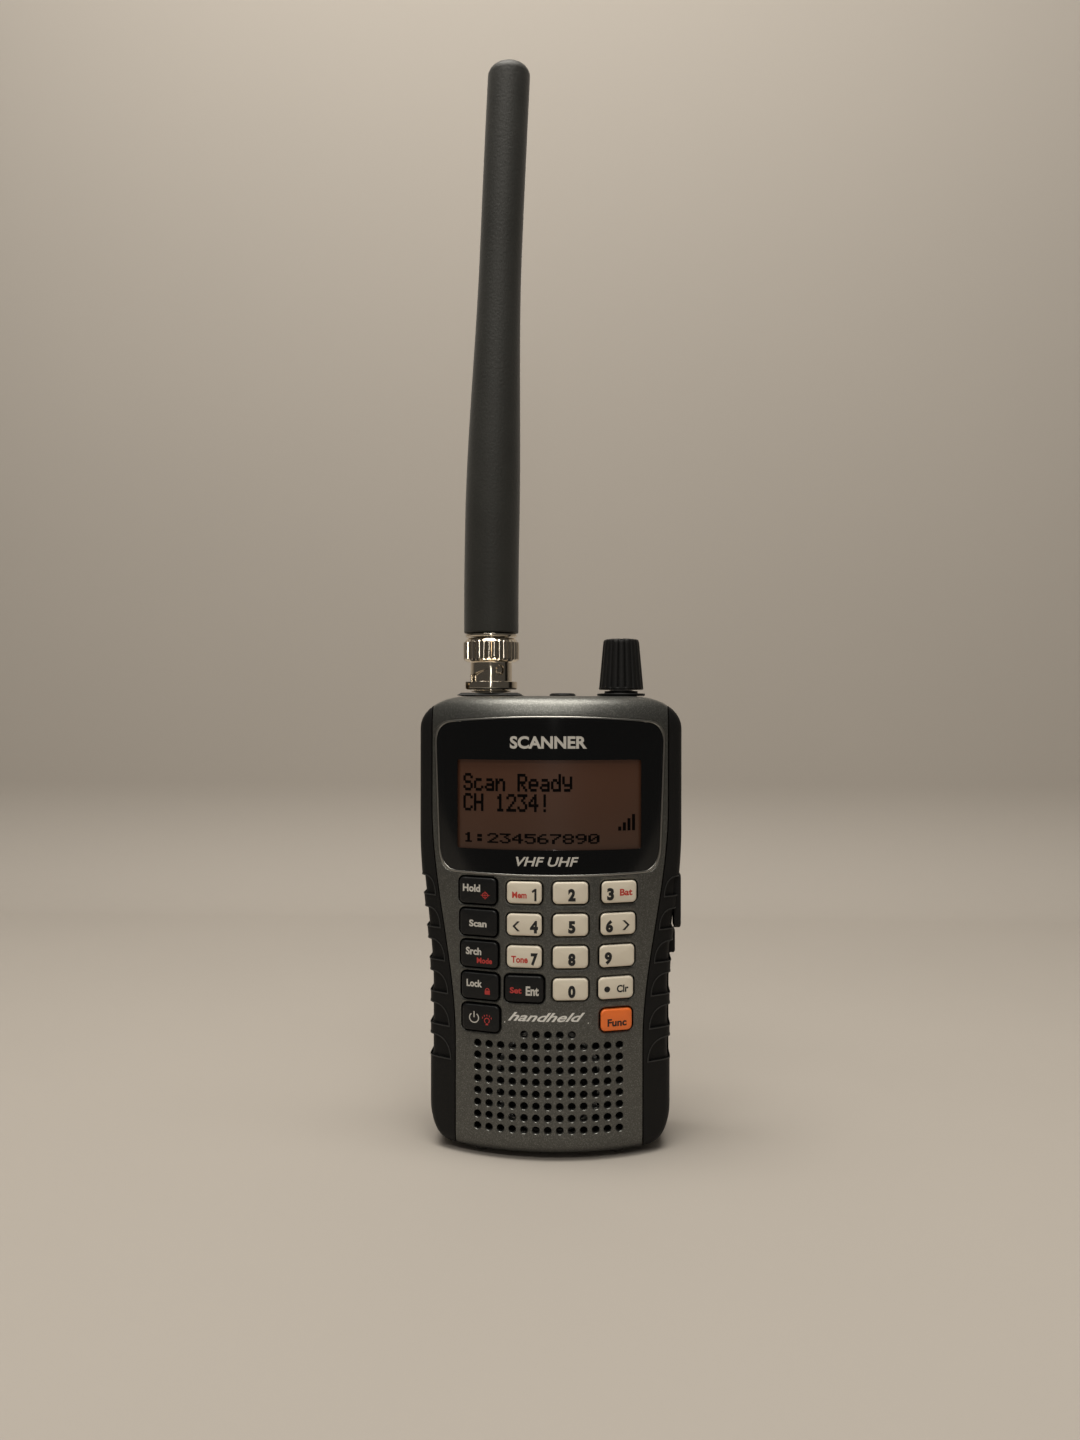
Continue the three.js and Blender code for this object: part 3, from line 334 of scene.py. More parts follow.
def smooth(piece, angle=32):
    for polygon in piece.data.polygons:
        polygon.use_smooth = True
    piece.data.set_sharp_from_angle(angle=math.radians(angle))
    weighted = piece.modifiers.new("even_shading", "WEIGHTED_NORMAL")
    weighted.keep_sharp = True
    return piece


def soften(piece, width, segments=2, angle=35):
    """Rounds the sharp edges by a width in millimetres."""
    bevel = piece.modifiers.new("edge_round", "BEVEL")
    bevel.width = width * MM
    bevel.segments = segments
    bevel.limit_method = "ANGLE"
    bevel.angle_limit = math.radians(angle)
    bevel.harden_normals = True
    return piece


def dress(piece, slot, body, *nodes, look=None):
    """Gives a piece its slot's material or another look, its body and the nodes it stands for."""
    piece.data.materials.clear()
    piece.data.materials.append(look or LOOKS[slot])
    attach(piece, body)
    if nodes:
        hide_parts(*nodes)
    return piece


def rounded_rectangle(x, z, half_width, half_height, radius, steps=6):
    corners = [(1, -1), (1, 1), (-1, 1), (-1, -1)]
    points = []
    for quadrant, (sx, sz) in enumerate(corners):
        cx = x + sx * (half_width - radius)
        cz = z + sz * (half_height - radius)
        for i in range(steps + 1):
            angle = QUARTER * (quadrant - 1 + i / steps)
            points.append((cx + radius * math.cos(angle), cz + radius * math.sin(angle)))
    return points


# ---- materials


def link(tree, source, target):
    tree.links.new(source, target)


def noise(tree, vector, scale, detail):
    node = tree.nodes.new("ShaderNodeTexNoise")
    node.inputs["Scale"].default_value = scale
    node.inputs["Detail"].default_value = detail
    link(tree, vector, node.inputs["Vector"])
    return node.outputs["Fac"]


def mix_color(tree, factor, first, second, blend_type="MIX"):
    """A mix of two colours; each value is a plain one or the output of another node."""
    node = tree.nodes.new("ShaderNodeMix")
    node.data_type = "RGBA"
    node.blend_type = blend_type
    for key, value in (("Factor", factor), ("A", first), ("B", second)):
        if isinstance(value, bpy.types.NodeSocket):
            link(tree, value, node.inputs[key])
        else:
            node.inputs[key].default_value = value
    return node.outputs["Result"]


def surface(name, color, roughness, metallic=0.0, grain=(900, 0.1), vary=0.15, vary_scale=60,
            rough_vary=0.08, ior=1.5, coat=0.0, sheen=0.0, stretch=(1, 1, 1)):
    """A moulded, painted or metal surface: fine grain in the bump, cloudy colour and gloss."""
    material = bpy.data.materials.new(name)
    material.use_nodes = True
    tree = material.node_tree
    shader = tree.nodes["Principled BSDF"]
    shader.inputs["Metallic"].default_value = metallic
    shader.inputs["IOR"].default_value = ior
    shader.inputs["Coat Weight"].default_value = coat
    shader.inputs["Coat Roughness"].default_value = 0.08
    shader.inputs["Sheen Weight"].default_value = sheen
    place = tree.nodes.new("ShaderNodeTexCoord")
    mapping = tree.nodes.new("ShaderNodeMapping")
    mapping.inputs["Scale"].default_value = stretch
    link(tree, place.outputs["Object"], mapping.inputs["Vector"])
    clouds = noise(tree, mapping.outputs["Vector"], vary_scale, 6)
    tint = mix_color(tree, clouds, (*[c * (1 - vary) for c in color], 1),
                     (*[min(c * (1 + vary), 1) for c in color], 1))
    link(tree, tint, shader.inputs["Base Color"])
    gloss = tree.nodes.new("ShaderNodeMapRange")
    gloss.inputs["To Min"].default_value = max(roughness - rough_vary, 0.02)
    gloss.inputs["To Max"].default_value = min(roughness + rough_vary, 1)
    link(tree, clouds, gloss.inputs["Value"])
    link(tree, gloss.outputs["Result"], shader.inputs["Roughness"])
    texture = noise(tree, mapping.outputs["Vector"], grain[0], 3)
    bump = tree.nodes.new("ShaderNodeBump")
    bump.inputs["Strength"].default_value = grain[1]
    bump.inputs["Distance"].default_value = 0.0002
    link(tree, texture, bump.inputs["Height"])
    link(tree, bump.outputs["Normal"], shader.inputs["Normal"])
    return material


def flake_paint(name):
    """Dark metallic paint: a grey base with fine bright flakes that tilt the light."""
    material = surface(name, (0.102, 0.103, 0.096), 0.36, metallic=0.75, grain=(2600, 0.16),
                       vary=0.06, vary_scale=90, rough_vary=0.05)
    tree = material.node_tree
    shader = tree.nodes["Principled BSDF"]
    place = tree.nodes["Texture Coordinate"]
    flakes = tree.nodes.new("ShaderNodeTexVoronoi")
    flakes.inputs["Scale"].default_value = 5200
    link(tree, place.outputs["Object"], flakes.inputs["Vector"])
    ramp = tree.nodes.new("ShaderNodeValToRGB")
    ramp.color_ramp.elements[0].position = 0.55
    ramp.color_ramp.elements[0].color = (0, 0, 0, 1)
    ramp.color_ramp.elements[1].position = 0.95
    ramp.color_ramp.elements[1].color = (1, 1, 1, 1)
    link(tree, flakes.outputs["Color"], ramp.inputs["Fac"])
    base = shader.inputs["Base Color"].links[0].from_socket
    sparkle = mix_color(tree, ramp.outputs["Color"], base, (0.20, 0.202, 0.19, 1))
    link(tree, sparkle, shader.inputs["Base Color"])
    return material


def lcd_surface(name):
    """Unlit liquid crystal glass: brown, with painted light and shade: a little redder and lighter
    towards its upper edge, darker towards its lower edge.
    """
    material = surface(name, (0.072, 0.033, 0.0185), 0.35, grain=(1500, 0.03), vary=0.1,
                       vary_scale=25, coat=0.6)
    tree = material.node_tree
    shader = tree.nodes["Principled BSDF"]
    place = tree.nodes["Texture Coordinate"]
    parts = tree.nodes.new("ShaderNodeSeparateXYZ")
    link(tree, place.outputs["Object"], parts.inputs["Vector"])
    rise = tree.nodes.new("ShaderNodeMapRange")
    rise.inputs["From Min"].default_value = WINDOW[1] * MM
    rise.inputs["From Max"].default_value = WINDOW[2] * MM
    link(tree, parts.outputs["Z"], rise.inputs["Value"])
    # painted light and shade: the glass colour darkens towards the bottom and turns lighter and
    # redder towards the top
    painted_light_ramp = mix_color(tree, rise.outputs["Result"], (0.88, 0.9, 0.92, 1), (1.25, 1.1, 1.0, 1))
    base = shader.inputs["Base Color"].links[0].from_socket
    warm_light = mix_color(tree, 1, base, painted_light_ramp, "MULTIPLY")
    link(tree, warm_light, shader.inputs["Base Color"])
    return material


LOOKS = {
    "painted": flake_paint("flake_paint"),
    "black": surface("black_plastic", (0.007, 0.007, 0.007), 0.5, grain=(1800, 0.3), vary=0.2,
                     ior=1.36),
    "rubber": surface("soft_rubber", (0.0052, 0.0052, 0.0052), 0.6, grain=(2200, 0.25),
                      vary=0.2, ior=1.32),
    "gloss": surface("gloss_black", (0.0045, 0.0048, 0.0052), 0.09, grain=(150, 0.01), vary=0.1,
                     rough_vary=0.03),
    "silver": surface("bright_trim", (0.30, 0.295, 0.275), 0.3, metallic=0.9, grain=(1200, 0.08)),
    "liquid": lcd_surface("lcd_glass"),
    "pale": surface("cream_key", (0.80, 0.73, 0.60), 0.42, grain=(1500, 0.12), vary=0.05,
                    vary_scale=150),
    "dark": surface("dark_key", (0.0062, 0.0065, 0.007), 0.42, grain=(1500, 0.2), vary=0.2,
                    ior=1.36),
    "orange": surface("orange_key", (0.96, 0.2, 0.035), 0.42, grain=(1500, 0.12), vary=0.06,
                      vary_scale=150),
    "membrane": surface("silicone_sheet", (0.05, 0.052, 0.055), 0.7, grain=(900, 0.2)),
    "board": surface("green_board", (0.02, 0.11, 0.04), 0.4, grain=(600, 0.3), vary=0.3,
                     vary_scale=300),
    "nickel": surface("nickel_plate", (0.80, 0.72, 0.60), 0.12, metallic=1.0, grain=(700, 0.04),
                      vary=0.12, vary_scale=200, rough_vary=0.05),
    "steel": surface("zinc_steel", (0.42, 0.42, 0.41), 0.34, metallic=1.0, grain=(900, 0.1),
                     stretch=(1, 1, 6)),
    "brass": surface("gold_contact", (0.72, 0.5, 0.18), 0.22, metallic=1.0, grain=(900, 0.05)),
    "paper": surface("doped_paper", (0.012, 0.012, 0.013), 0.9, grain=(1200, 0.6), vary=0.3),
    "ferrite": surface("ferrite", (0.03, 0.031, 0.034), 0.6, grain=(1400, 0.4), vary=0.3),
    "insulator": surface("white_plastic", (0.75, 0.73, 0.68), 0.45, grain=(900, 0.1), vary=0.05),
    "cell": surface("cell_jacket", (0.03, 0.14, 0.32), 0.3, metallic=0.3, grain=(500, 0.05)),
}
ANTENNA_RUBBER = surface("antenna_rubber", (0.021, 0.0212, 0.0178), 0.55, grain=(1500, 0.35),
                         vary=0.3, vary_scale=70, rough_vary=0.1, sheen=0.1)
FOOT_RUBBER = surface("foot_rubber", (0.06, 0.058, 0.052), 0.6, grain=(1500, 0.2), vary=0.15)
# lighter than the grip rubber: a painted highlight along the raised scallop edges
RUBBER_EDGE_HIGHLIGHT = surface("rubber_edge_painted_highlight", (0.018, 0.019, 0.019), 0.5, grain=(2200, 0.2), vary=0.2)


def ink(name, color, vary=0.15, roughness=0.5):
    return surface(name, color, roughness, grain=(1500, 0.05), vary=vary)


INK_BLACK = ink("black_ink", (0.008, 0.008, 0.009), 0.2)
INK_RED = ink("red_ink", (0.55, 0.045, 0.03))
INK_DEEP_RED = ink("deep_red_ink", (0.5, 0.04, 0.035))
INK_PALE = ink("pale_ink", (0.62, 0.6, 0.55), 0.1)
INK_WHITE = ink("white_ink", (0.8, 0.79, 0.75), 0.05, 0.4)
INK_PIXEL = surface("lcd_pixel", (0.003, 0.0022, 0.002), 0.6, ior=1.1, grain=(1500, 0.03), vary=0.1)


def dress_cad_nodes():
    """Every CAD node takes its slot's material, whether or not a finer piece stands for it."""
    for name, piece in frame["nodes"].items():
        piece.data.materials.clear()
        piece.data.materials.append(LOOKS[SLOTS[name]])
        for polygon in piece.data.polygons:
            polygon.use_smooth = False


# ---- camera, light and floor


def add_camera():
    """At the height of the shoulders, slightly to the right of straight ahead."""
    distance = 0.300
    eye_height = 0.108
    turn = math.radians(2.2)
    aim = math.radians(0.52)
    roll = math.radians(-0.05)
    data = bpy.data.cameras.new("camera")
    data.sensor_width = 36.0
    data.lens = 29.1
    data.clip_start = 0.01
    camera = add_object("camera", data)
    camera.location = (distance * math.sin(turn), -distance * math.cos(turn), eye_height)
    camera.rotation_euler = (QUARTER, roll, turn + aim)
    bpy.context.scene.camera = camera


def add_area_light(name, place, target, size, power, color):
    data = bpy.data.lights.new(name, "AREA")
    data.shape = "RECTANGLE"
    data.size, data.size_y = size
    data.energy = power
    data.color = color
    light = add_object(name, data)
    light.location = place
    light.rotation_euler = (Vector(target) - Vector(place)).to_track_quat("-Z", "Y").to_euler()


def add_stage():
    """A seamless pale sweep: floor, cove and wall in one sheet."""
    half_width = 1.6
    near = -0.34
    far = 0.40
    cove = 0.07
    high = 1.8
    steps = 14
    line = [(near, 0.0), (far - cove, 0.0)]
    for i in range(1, steps + 1):
        angle = QUARTER * i / steps
        line.append((far - cove + cove * math.sin(angle), cove - cove * math.cos(angle)))
    line.append((far, high))
    points = [(x / MM, y / MM, z / MM) for y, z in line for x in (-half_width, half_width)]
    faces = [(2 * i, 2 * i + 1, 2 * i + 3, 2 * i + 2) for i in range(len(line) - 1)]
    sweep = new_object("sweep", points, faces)
    for polygon in sweep.data.polygons:
        polygon.use_smooth = True
    look = surface("paper_sweep", (0.40, 0.368, 0.331), 0.85, grain=(160, 0.03), vary=0.03,
                   vary_scale=7)
    sweep.data.materials.append(look)


def add_light():
    world = bpy.data.worlds.new("room")
    world.use_nodes = True
    background = world.node_tree.nodes["Background"]
    background.inputs["Color"].default_value = (1.0, 0.93, 0.84, 1)
    background.inputs["Strength"].default_value = 0.06
    bpy.context.scene.world = world
    bpy.context.scene.view_settings.view_transform = "Standard"
    warm_light = (1.0, 0.95, 0.87)
    add_area_light("overhead", (-0.05, -0.12, 0.95), (0, 0.02, 0), (0.6, 0.4), 7.4, warm_light)
    add_area_light("front", (-0.1, -0.75, 1.0), (0, 0, 0.1), (0.9, 0.2), 3.8, warm_light)
    add_area_light("wall_wash", (-0.05, 0.02, 1.1), (0, 0.40, 0.35), (0.9, 0.2), 2.4, warm_light)
    add_area_light("glint", (0.02, -0.7, 0.21), (-0.0156, 0, 0.12), (0.03, 0.14), 0.16, warm_light)


# ---- outlines


def bezier(start, control, stop, steps):
    """Points of a quadratic curve after its first one."""
    points = []
    for i in range(1, steps + 1):
        t = i / steps
        points.append(tuple((1 - t) ** 2 * a + 2 * t * (1 - t) * b + t * t * c
                            for a, b, c in zip(start, control, stop)))
    return points


def lens_outline(grow, steps=14):
    """The display lens: arched top, slightly narrower foot. grow widens it all round."""
    width = LENS_HALF_WIDTH + grow
    height = LENS_HALF_HEIGHT + grow
    high = LENS_MID_Z + height
    low = LENS_MID_Z - height
    foot_z = LENS_MID_Z - 0.7 * height
    brow_z = LENS_MID_Z + 0.72 * height
    knots = [(0.0, low - 0.4), (0.4 * width, low - 0.4), (0.8 * width, low), (0.95 * width, low),
             (0.965 * width, foot_z), (0.985 * width, LENS_MID_Z), (width, brow_z),
             (width, high - 0.6), (0.84 * width, high - 0.4), (0.4 * width, high + 0.55),
             (0, high + 0.55)]
    right = []
    for i in range(0, len(knots) - 2, 2):
        right += bezier(*knots[i:i + 3], steps)
    left = [(-x, z) for x, z in reversed(right[:-1])]
    return right + left + [(0.0, low - 0.4)]


def key_place(node):
    """Centre and half sizes of a key's cap, from its CAD box."""
    low, high = box_mm(node)
    dark = node.removeprefix("key_") in DARK_KEYS
    half_height = DARK_KEY_HALF_HEIGHT if dark else KEY_HALF_HEIGHT
    half_width = (high.x - low.x) / 2 - KEY_MARGIN
    return (low.x + high.x) / 2, low.z + KEY_MARGIN + half_height, half_width, half_height


def wrapped(name, rings, closed=False):
    """A cutter or cap whose rings of (outline, depth) follow the front face; depth is inwards."""
    laid = [[(x, front_y(x, z) + depth, z) for x, z in outline] for outline, depth in rings]
    return loft(name, laid, closed)


def key_rings(node, profile):
    """A key's outline at each (growth, depth) of a profile."""
    x, z, half_width, half_height = key_place(node)
    return [(rounded_rectangle(x, z, half_width + grow, half_height + grow,
                               max(KEY_ROUND + grow, 0.3)), depth) for grow, depth in profile]


def axis_of(node, along="Z"):
    """A point on the axis of a CAD node that runs upright (Z) or front to back (Y)."""
    low, high = box_mm(node)
    x = (low.x + high.x) / 2
    if along == "Y":
        return x, 0.0, (low.z + high.z) / 2
    return x, (low.y + high.y) / 2, 0.0


# ---- shells


def beside_panel(name, sign, clearance, back):
    steps = 40
    edge = [(sign * (panel_half_width(z) + clearance), z)
            for z in [blend(*PANEL_WAIST, i / steps) for i in range(steps + 1)]]
    outline = [(sign * REACH, -REACH), (edge[0][0], -REACH), *edge,
               (edge[-1][0], CASE_TOP + REACH), (sign * REACH, CASE_TOP + REACH)]
    return prism(name, outline, -REACH, back)


def case_outside():
    """The case without its grips."""
    whole = loft("outside", case_rings(0))
    zones = [beside_panel("zone", sign, -SEAM, GRIP_HIGH_Y + SEAM) for sign in (-1, 1)]
    combine(whole, zones)
    return combine(whole, [loft("under_grips", case_rings(GRIP_THICK + 0.2))], "UNION")


def speaker_holes():
    holes = []
    depth_rings = ((0.0, 4.5), (0.0, 0.22), (0.1, 0.06), (0.24, -0.08), (0.4, -0.4))
    top_row = HOLE_FOOT_Z + (HOLE_ROWS - 1) * HOLE_PITCH
    for row in range(HOLE_ROWS + 1):
        count = HOLE_SHORT_ROW if row == HOLE_ROWS else HOLE_COLUMNS
        z = top_row + HOLE_PITCH if row == HOLE_ROWS else HOLE_FOOT_Z + row * HOLE_PITCH
        for i in range(count):
            x = (i - (count - 1) / 2) * HOLE_PITCH
            rings = [([(x + a, z + b) for a, b in circle(HOLE_RADIUS + grow, 20)], depth)
                     for grow, depth in depth_rings]
            holes.append(wrapped("hole", rings))
    return joined("speaker_holes", holes)


def key_openings():
    """Each key stands in an opening with a soft dished rim."""
    rims = ((0.36, 6.0), (0.36, 0.32), (0.42, 0.16), (0.56, 0.06), (0.72, 0.0), (0.85, -0.06),
            (0.85, -2.0))
    return [wrapped("opening", key_rings(node, rims)) for node in KEYS]


def front_case():
    shell = case_outside()
    inside = loft("inside", case_rings(2.0))
    front_half = block("front_half", (-REACH, -REACH, -REACH),
                       (REACH, PARTING_Y - SEAM, CASE_TOP + REACH))
    combine(shell, [inside])
    combine(shell, [front_half], "INTERSECT")
    seat = ((0.62, OUTWARDS), (0.62, 0.12), (0.72, -0.02), (0.9, -0.5), (0.9, -OUTWARDS))
    lens_seat = wrapped("lens_seat", [(lens_outline(grow), depth) for grow, depth in seat])
    combine(shell, [lens_seat, *key_openings(), speaker_holes()])
    smooth(shell, 28)
    shell.name = "front_shell"
    return dress(shell, "painted", "root", "front_case")


def rear_case():
    shell = case_outside()
    inside = loft("inside", case_rings(3.6))
    rear_half = block("rear_half", (-REACH, PARTING_Y + SEAM, -REACH),
                      (REACH, REACH, CASE_TOP + REACH))
    combine(shell, [inside])
    combine(shell, [rear_half], "INTERSECT")
    bay_width = 15.7
    bay_low, bay_high = 6.5, 61.5
    rail = 4.0
    usb_low = (25.0, -1.3, 57.4)
    usb_high = (REACH, 3.1, 66.6)
    well = [(0, 11.6), (2.6, 11.6), (2.6, 16.1), (3.1, 17), (0, 17)]
    bay = block("bay", (-bay_width - rail, -0.9, CASE_BOTTOM + 2),
                (bay_width + rail, BACK_Y - 1.5, bay_high + rail))
    combine(shell, [bay], "UNION")
    cuts = [
        block("bay_room", (-bay_width, 0, bay_low), (bay_width, REACH, bay_high)),
        block("door_room", (DOOR_LOW.x - SEAM, DOOR_LOW.y - 0.2, -REACH),
              (DOOR_HIGH.x + SEAM, REACH, DOOR_HIGH.z + SEAM)),
        block("usb_room", usb_low, usb_high),
    ]
    cuts += [turned("screw_well", well, axis_of(node, "Y"), 40, along="Y") for node in REAR_SCREWS]
    cuts += [rod("top_hole", radius, 105, 116, axis_of(node), 40)
             for node, radius in TOP_HOLES.items()]
    combine(shell, cuts)
    smooth(shell, 28)
    shell.name = "rear_shell"
    return dress(shell, "black", "root", "rear_case")


def leaf_outlines(sign, grow):
    """Six D-shaped finger scallops down the front edge of a grip."""
    first_top = 68.4
    pitch = 8.0
    steps = 14
    outlines = []
    for i in range(6):
        top = first_top - pitch * i + grow
        tall = 4.6 + 0.15 * i + 2 * grow
        wide = 3.6 + 0.4 * i + grow
        edge = case_half_width(top - tall / 2)
        outline = [(sign * REACH, top - tall)]
        for k in range(steps + 1):
            angle = QUARTER * k / steps
            outline.append((sign * (edge - wide * math.cos(angle) ** 0.7),
                            top - tall + tall * math.sin(angle)))
        outline.append((sign * REACH, top))
        outlines.append(outline)
    return outlines


def leaves(sign, grow):
    back = 3.0 + grow
    return joined("leaves", [prism("leaf", o, -REACH, back) for o in leaf_outlines(sign, grow)])


def grip(sign):
    """A soft side skin with dished finger scallops, each inside a fine raised edge of lighter rubber,
    a painted highlight.
    """
    name = "left" if sign < 0 else "right"
    skin = loft(f"{name}_grip_skin", case_rings(0))
    combine(skin, [loft("inner", case_rings(GRIP_THICK))])
    combine(skin, [beside_panel("zone", sign, SEAM, GRIP_HIGH_Y)], "INTERSECT")
    scallops = leaves(sign, 0)
    combine(scallops, [loft("dish", case_rings(0.7))])
    combine(skin, [scallops])
    edges = leaves(sign, 0.3)
    combine(edges, [leaves(sign, 0)])
    combine(edges, [loft("proud", case_rings(-0.12))], "INTERSECT")
    combine(edges, [loft("buried", case_rings(0.4))])
    combine(edges, [beside_panel("zone", sign, 0.6, GRIP_HIGH_Y - 0.6)], "INTERSECT")
    if sign > 0:
        room = (COVER_LOW.y - 0.2, COVER_LOW.z - 0.2, COVER_HIGH.y + 0.2, COVER_HIGH.z + 0.2)
        for piece in (skin, edges):
            combine(piece, [block("cover_room", (20, room[0], room[1]),
                                  (REACH, room[2], room[3]))])
    smooth(skin, 30)
    smooth(edges, 30)
    # the raised edges take the lighter rubber: a painted highlight
    dress(edges, "rubber", "root", look=RUBBER_EDGE_HIGHLIGHT)
    dress(skin, "rubber", "root", f"{name}_grip")


def battery_door():
    """The door with its finger grooves, cut from the case's own form."""
    door = loft("door_plate", case_rings(0))
    outline = rounded_rectangle(0, (DOOR_HIGH.z - REACH) / 2, DOOR_HIGH.x,
                                (DOOR_HIGH.z + REACH) / 2, 1.6)
    combine(door, [prism("door_outline", outline, DOOR_LOW.y, REACH)], "INTERSECT")
    first_rib = DOOR_HIGH.z - 8
    rib_pitch = 2.1
    rib_deep = 0.55
    ribs = []
    for i in range(6):
        rib = rounded_rectangle(0, first_rib - rib_pitch * i, 9 - 0.75 * i, 0.55, 0.5)
        ribs.append(prism("rib", rib, BACK_Y - rib_deep, REACH))
    combine(door, [joined("ribs", ribs)])
    smooth(door, 28)
    return dress(door, "black", "battery_door", "battery_door")


def side_slab(name, middle, half, radius, layers):
    """A rounded slab on the right side, from its (cut, x) layers; middle and half are (y, z)."""
    rings = [[(x, y, z) for y, z in rounded_rectangle(*middle, half[0] - cut, half[1] - cut,
                                                      radius)] for cut, x in layers]
    return loft(name, rings)


def usb_cover():
    """A rubber flap with a pull groove and a tongue; its tether stays on the case."""
    middle_y = (COVER_LOW.y + COVER_HIGH.y) / 2
    middle_z = (COVER_LOW.z + COVER_HIGH.z) / 2
    half_y = (COVER_HIGH.y - COVER_LOW.y) / 2
    half_z = (COVER_HIGH.z - COVER_LOW.z) / 2
    face = COVER_HIGH.x
    back = face - 1.7
    layers = ((0.0, back), (0.0, face - 0.45), (0.12, face - 0.15), (0.45, face))
    flap = side_slab("usb_flap", (middle_y, middle_z), (half_y, half_z), 1.2, layers)
    tongue = block("tongue", (29.2, middle_y - 1.4, middle_z - 3.1),
                   (back + 0.1, middle_y + 1.4, middle_z + 3.1))
    combine(flap, [tongue], "UNION")
    groove = block("pull_groove", (face - 0.3, COVER_LOW.y + 1, COVER_HIGH.z - 2.2),
                   (REACH, COVER_HIGH.y - 1, COVER_HIGH.z - 1.5))
    combine(flap, [groove])
    smooth(flap, 30)
    dress(flap, "rubber", "usb_cover", "usb_cover")
    layers = ((0.0, 30.4), (0.0, 31.6), (0.25, 31.9))
    tether = side_slab("usb_tether", (middle_y, 51.6), (2.2, 3.0), 0.8, layers)
    dress(smooth(tether, 30), "rubber", "root")


# ---- display


def display():
    reach = LENS_HALF_WIDTH + 1
    lens = curved_sheet("lens_plate", -reach, reach, LENS_LOW.z - 1, LENS_HIGH.z + 1, 0.08, 1.6,
                        columns=96)
    combine(lens, [prism("lens_shape", lens_outline(0.0), -REACH, REACH)], "INTERSECT")
    half_width, low, high = WINDOW
    middle = (low + high) / 2
    window = rounded_rectangle(0, middle, half_width, (high - low) / 2, 0.5)
    combine(lens, [prism("window", window, -REACH, REACH)])
    smooth(lens, 25)
    dress(lens, "gloss", "root", "display_lens")
    profile = ((0.06, 1.2), (0.06, 0.1), (0.14, -0.02), (0.34, -0.05), (0.52, 0.0), (0.6, 0.12),
               (0.6, 1.2))
    rings = [(lens_outline(grow), depth) for grow, depth in profile]
    trim = smooth(wrapped("trim_ring", rings, closed=True), 50)
    dress(trim, "silver", "root", "lens_trim")


def curved_sheet(name, left, right, low, high, front, thick, columns=40):
    """A sheet that follows the front face, its front side at the given depth."""
    rings = []
    for i in range(columns + 1):
        x = blend(left, right, i / columns)
        near = front_y(x, (low + high) / 2) + front
        rings.append([(x, near, low), (x, near, high), (x, near + thick, high),
                      (x, near + thick, low)])
    return loft(name, rings)


def lcd_face():
    half_width, low, high = WINDOW
    face = curved_sheet("lcd_face", -half_width - 0.6, half_width + 0.6, low - 0.6, high + 0.6,
                        0.75, 0.8)
    smooth(face, 30)
    return dress(face, "liquid", "root")


# Dot-matrix letters, five by seven, top row first.
GLYPHS = {
    "S": "01110 10001 10000 01110 00001 10001 01110",
    "c": "00000 00000 01110 10000 10000 10001 01110",
    "a": "00000 00000 01110 00001 01111 10001 01111",
    "n": "00000 00000 10110 11001 10001 10001 10001",
    "R": "11110 10001 10001 11110 10100 10010 10001",
    "e": "00000 00000 01110 10001 11111 10000 01110",
    "d": "00001 00001 01101 10011 10001 10001 01111",
    "y": "00000 10001 10001 10001 01111 00001 01110",
    "C": "01110 10001 10000 10000 10000 10001 01110",
    "H": "10001 10001 10001 11111 10001 10001 10001",
    ":": "00000 01100 01100 00000 01100 01100 00000",
    "!": "00100 00100 00100 00100 00100 00000 00100",
    "0": "01110 10001 10011 10101 11001 10001 01110",
    "1": "00100 01100 00100 00100 00100 00100 01110",
    "2": "01110 10001 00001 00010 00100 01000 11111",
    "3": "11111 00010 00100 00010 00001 10001 01110",
    "4": "00010 00110 01010 10010 11111 00010 00010",
    "5": "11111 10000 11110 00001 00001 10001 01110",
    "6": "00110 01000 10000 11110 10001 10001 01110",
    "7": "11111 00001 00010 00100 01000 01000 01000",
    "8": "01110 10001 10001 01110 10001 10001 01110",
    "9": "01110 10001 10001 01111 00001 00010 01100",
}


def lcd_line(text, left, high, pixel_wide, pixel_high):
    """Pixel blocks of one line of text, laid just in front of the display glass."""
    parts = []
    for index, letter in enumerate(text):
        if letter == " ":
            continue
        for row, bits in enumerate(GLYPHS[letter].split()):
            for column, bit in enumerate(bits):
                if bit == "1":
                    x = left + (index * 6 + column) * pixel_wide
                    z = high - (row + 1) * pixel_high
                    parts.append(lcd_block(x, z, pixel_wide * 1.35, pixel_high * 1.12))
    return parts


def lcd_block(x, z, wide, tall):
    return curved_sheet("pixel", x, x + wide, z, z + tall, 0.70, 0.08, columns=1)


def lcd_picture():
    """Two lines of text, a row of digits and a small signal sign."""
    left = -WINDOW[0] + 1.5
    parts = lcd_line("Scan Ready", left, WINDOW[2] - 3.5, 0.46, 0.61)
    parts += lcd_line("CH 1234!", left, WINDOW[2] - 8.5, 0.46, 0.61)
    parts += lcd_line("1:234567890", left, WINDOW[1] + 3.9, 0.52, 0.34)
    for i in range(4):
        parts.append(lcd_block(17.2 + 1.15 * i, WINDOW[1] + 4.6, 0.75, 1.0 + 1.0 * i))
    picture = joined("lcd_picture", parts)
    return dress(picture, "liquid", "root", look=INK_PIXEL)


# ---- legends


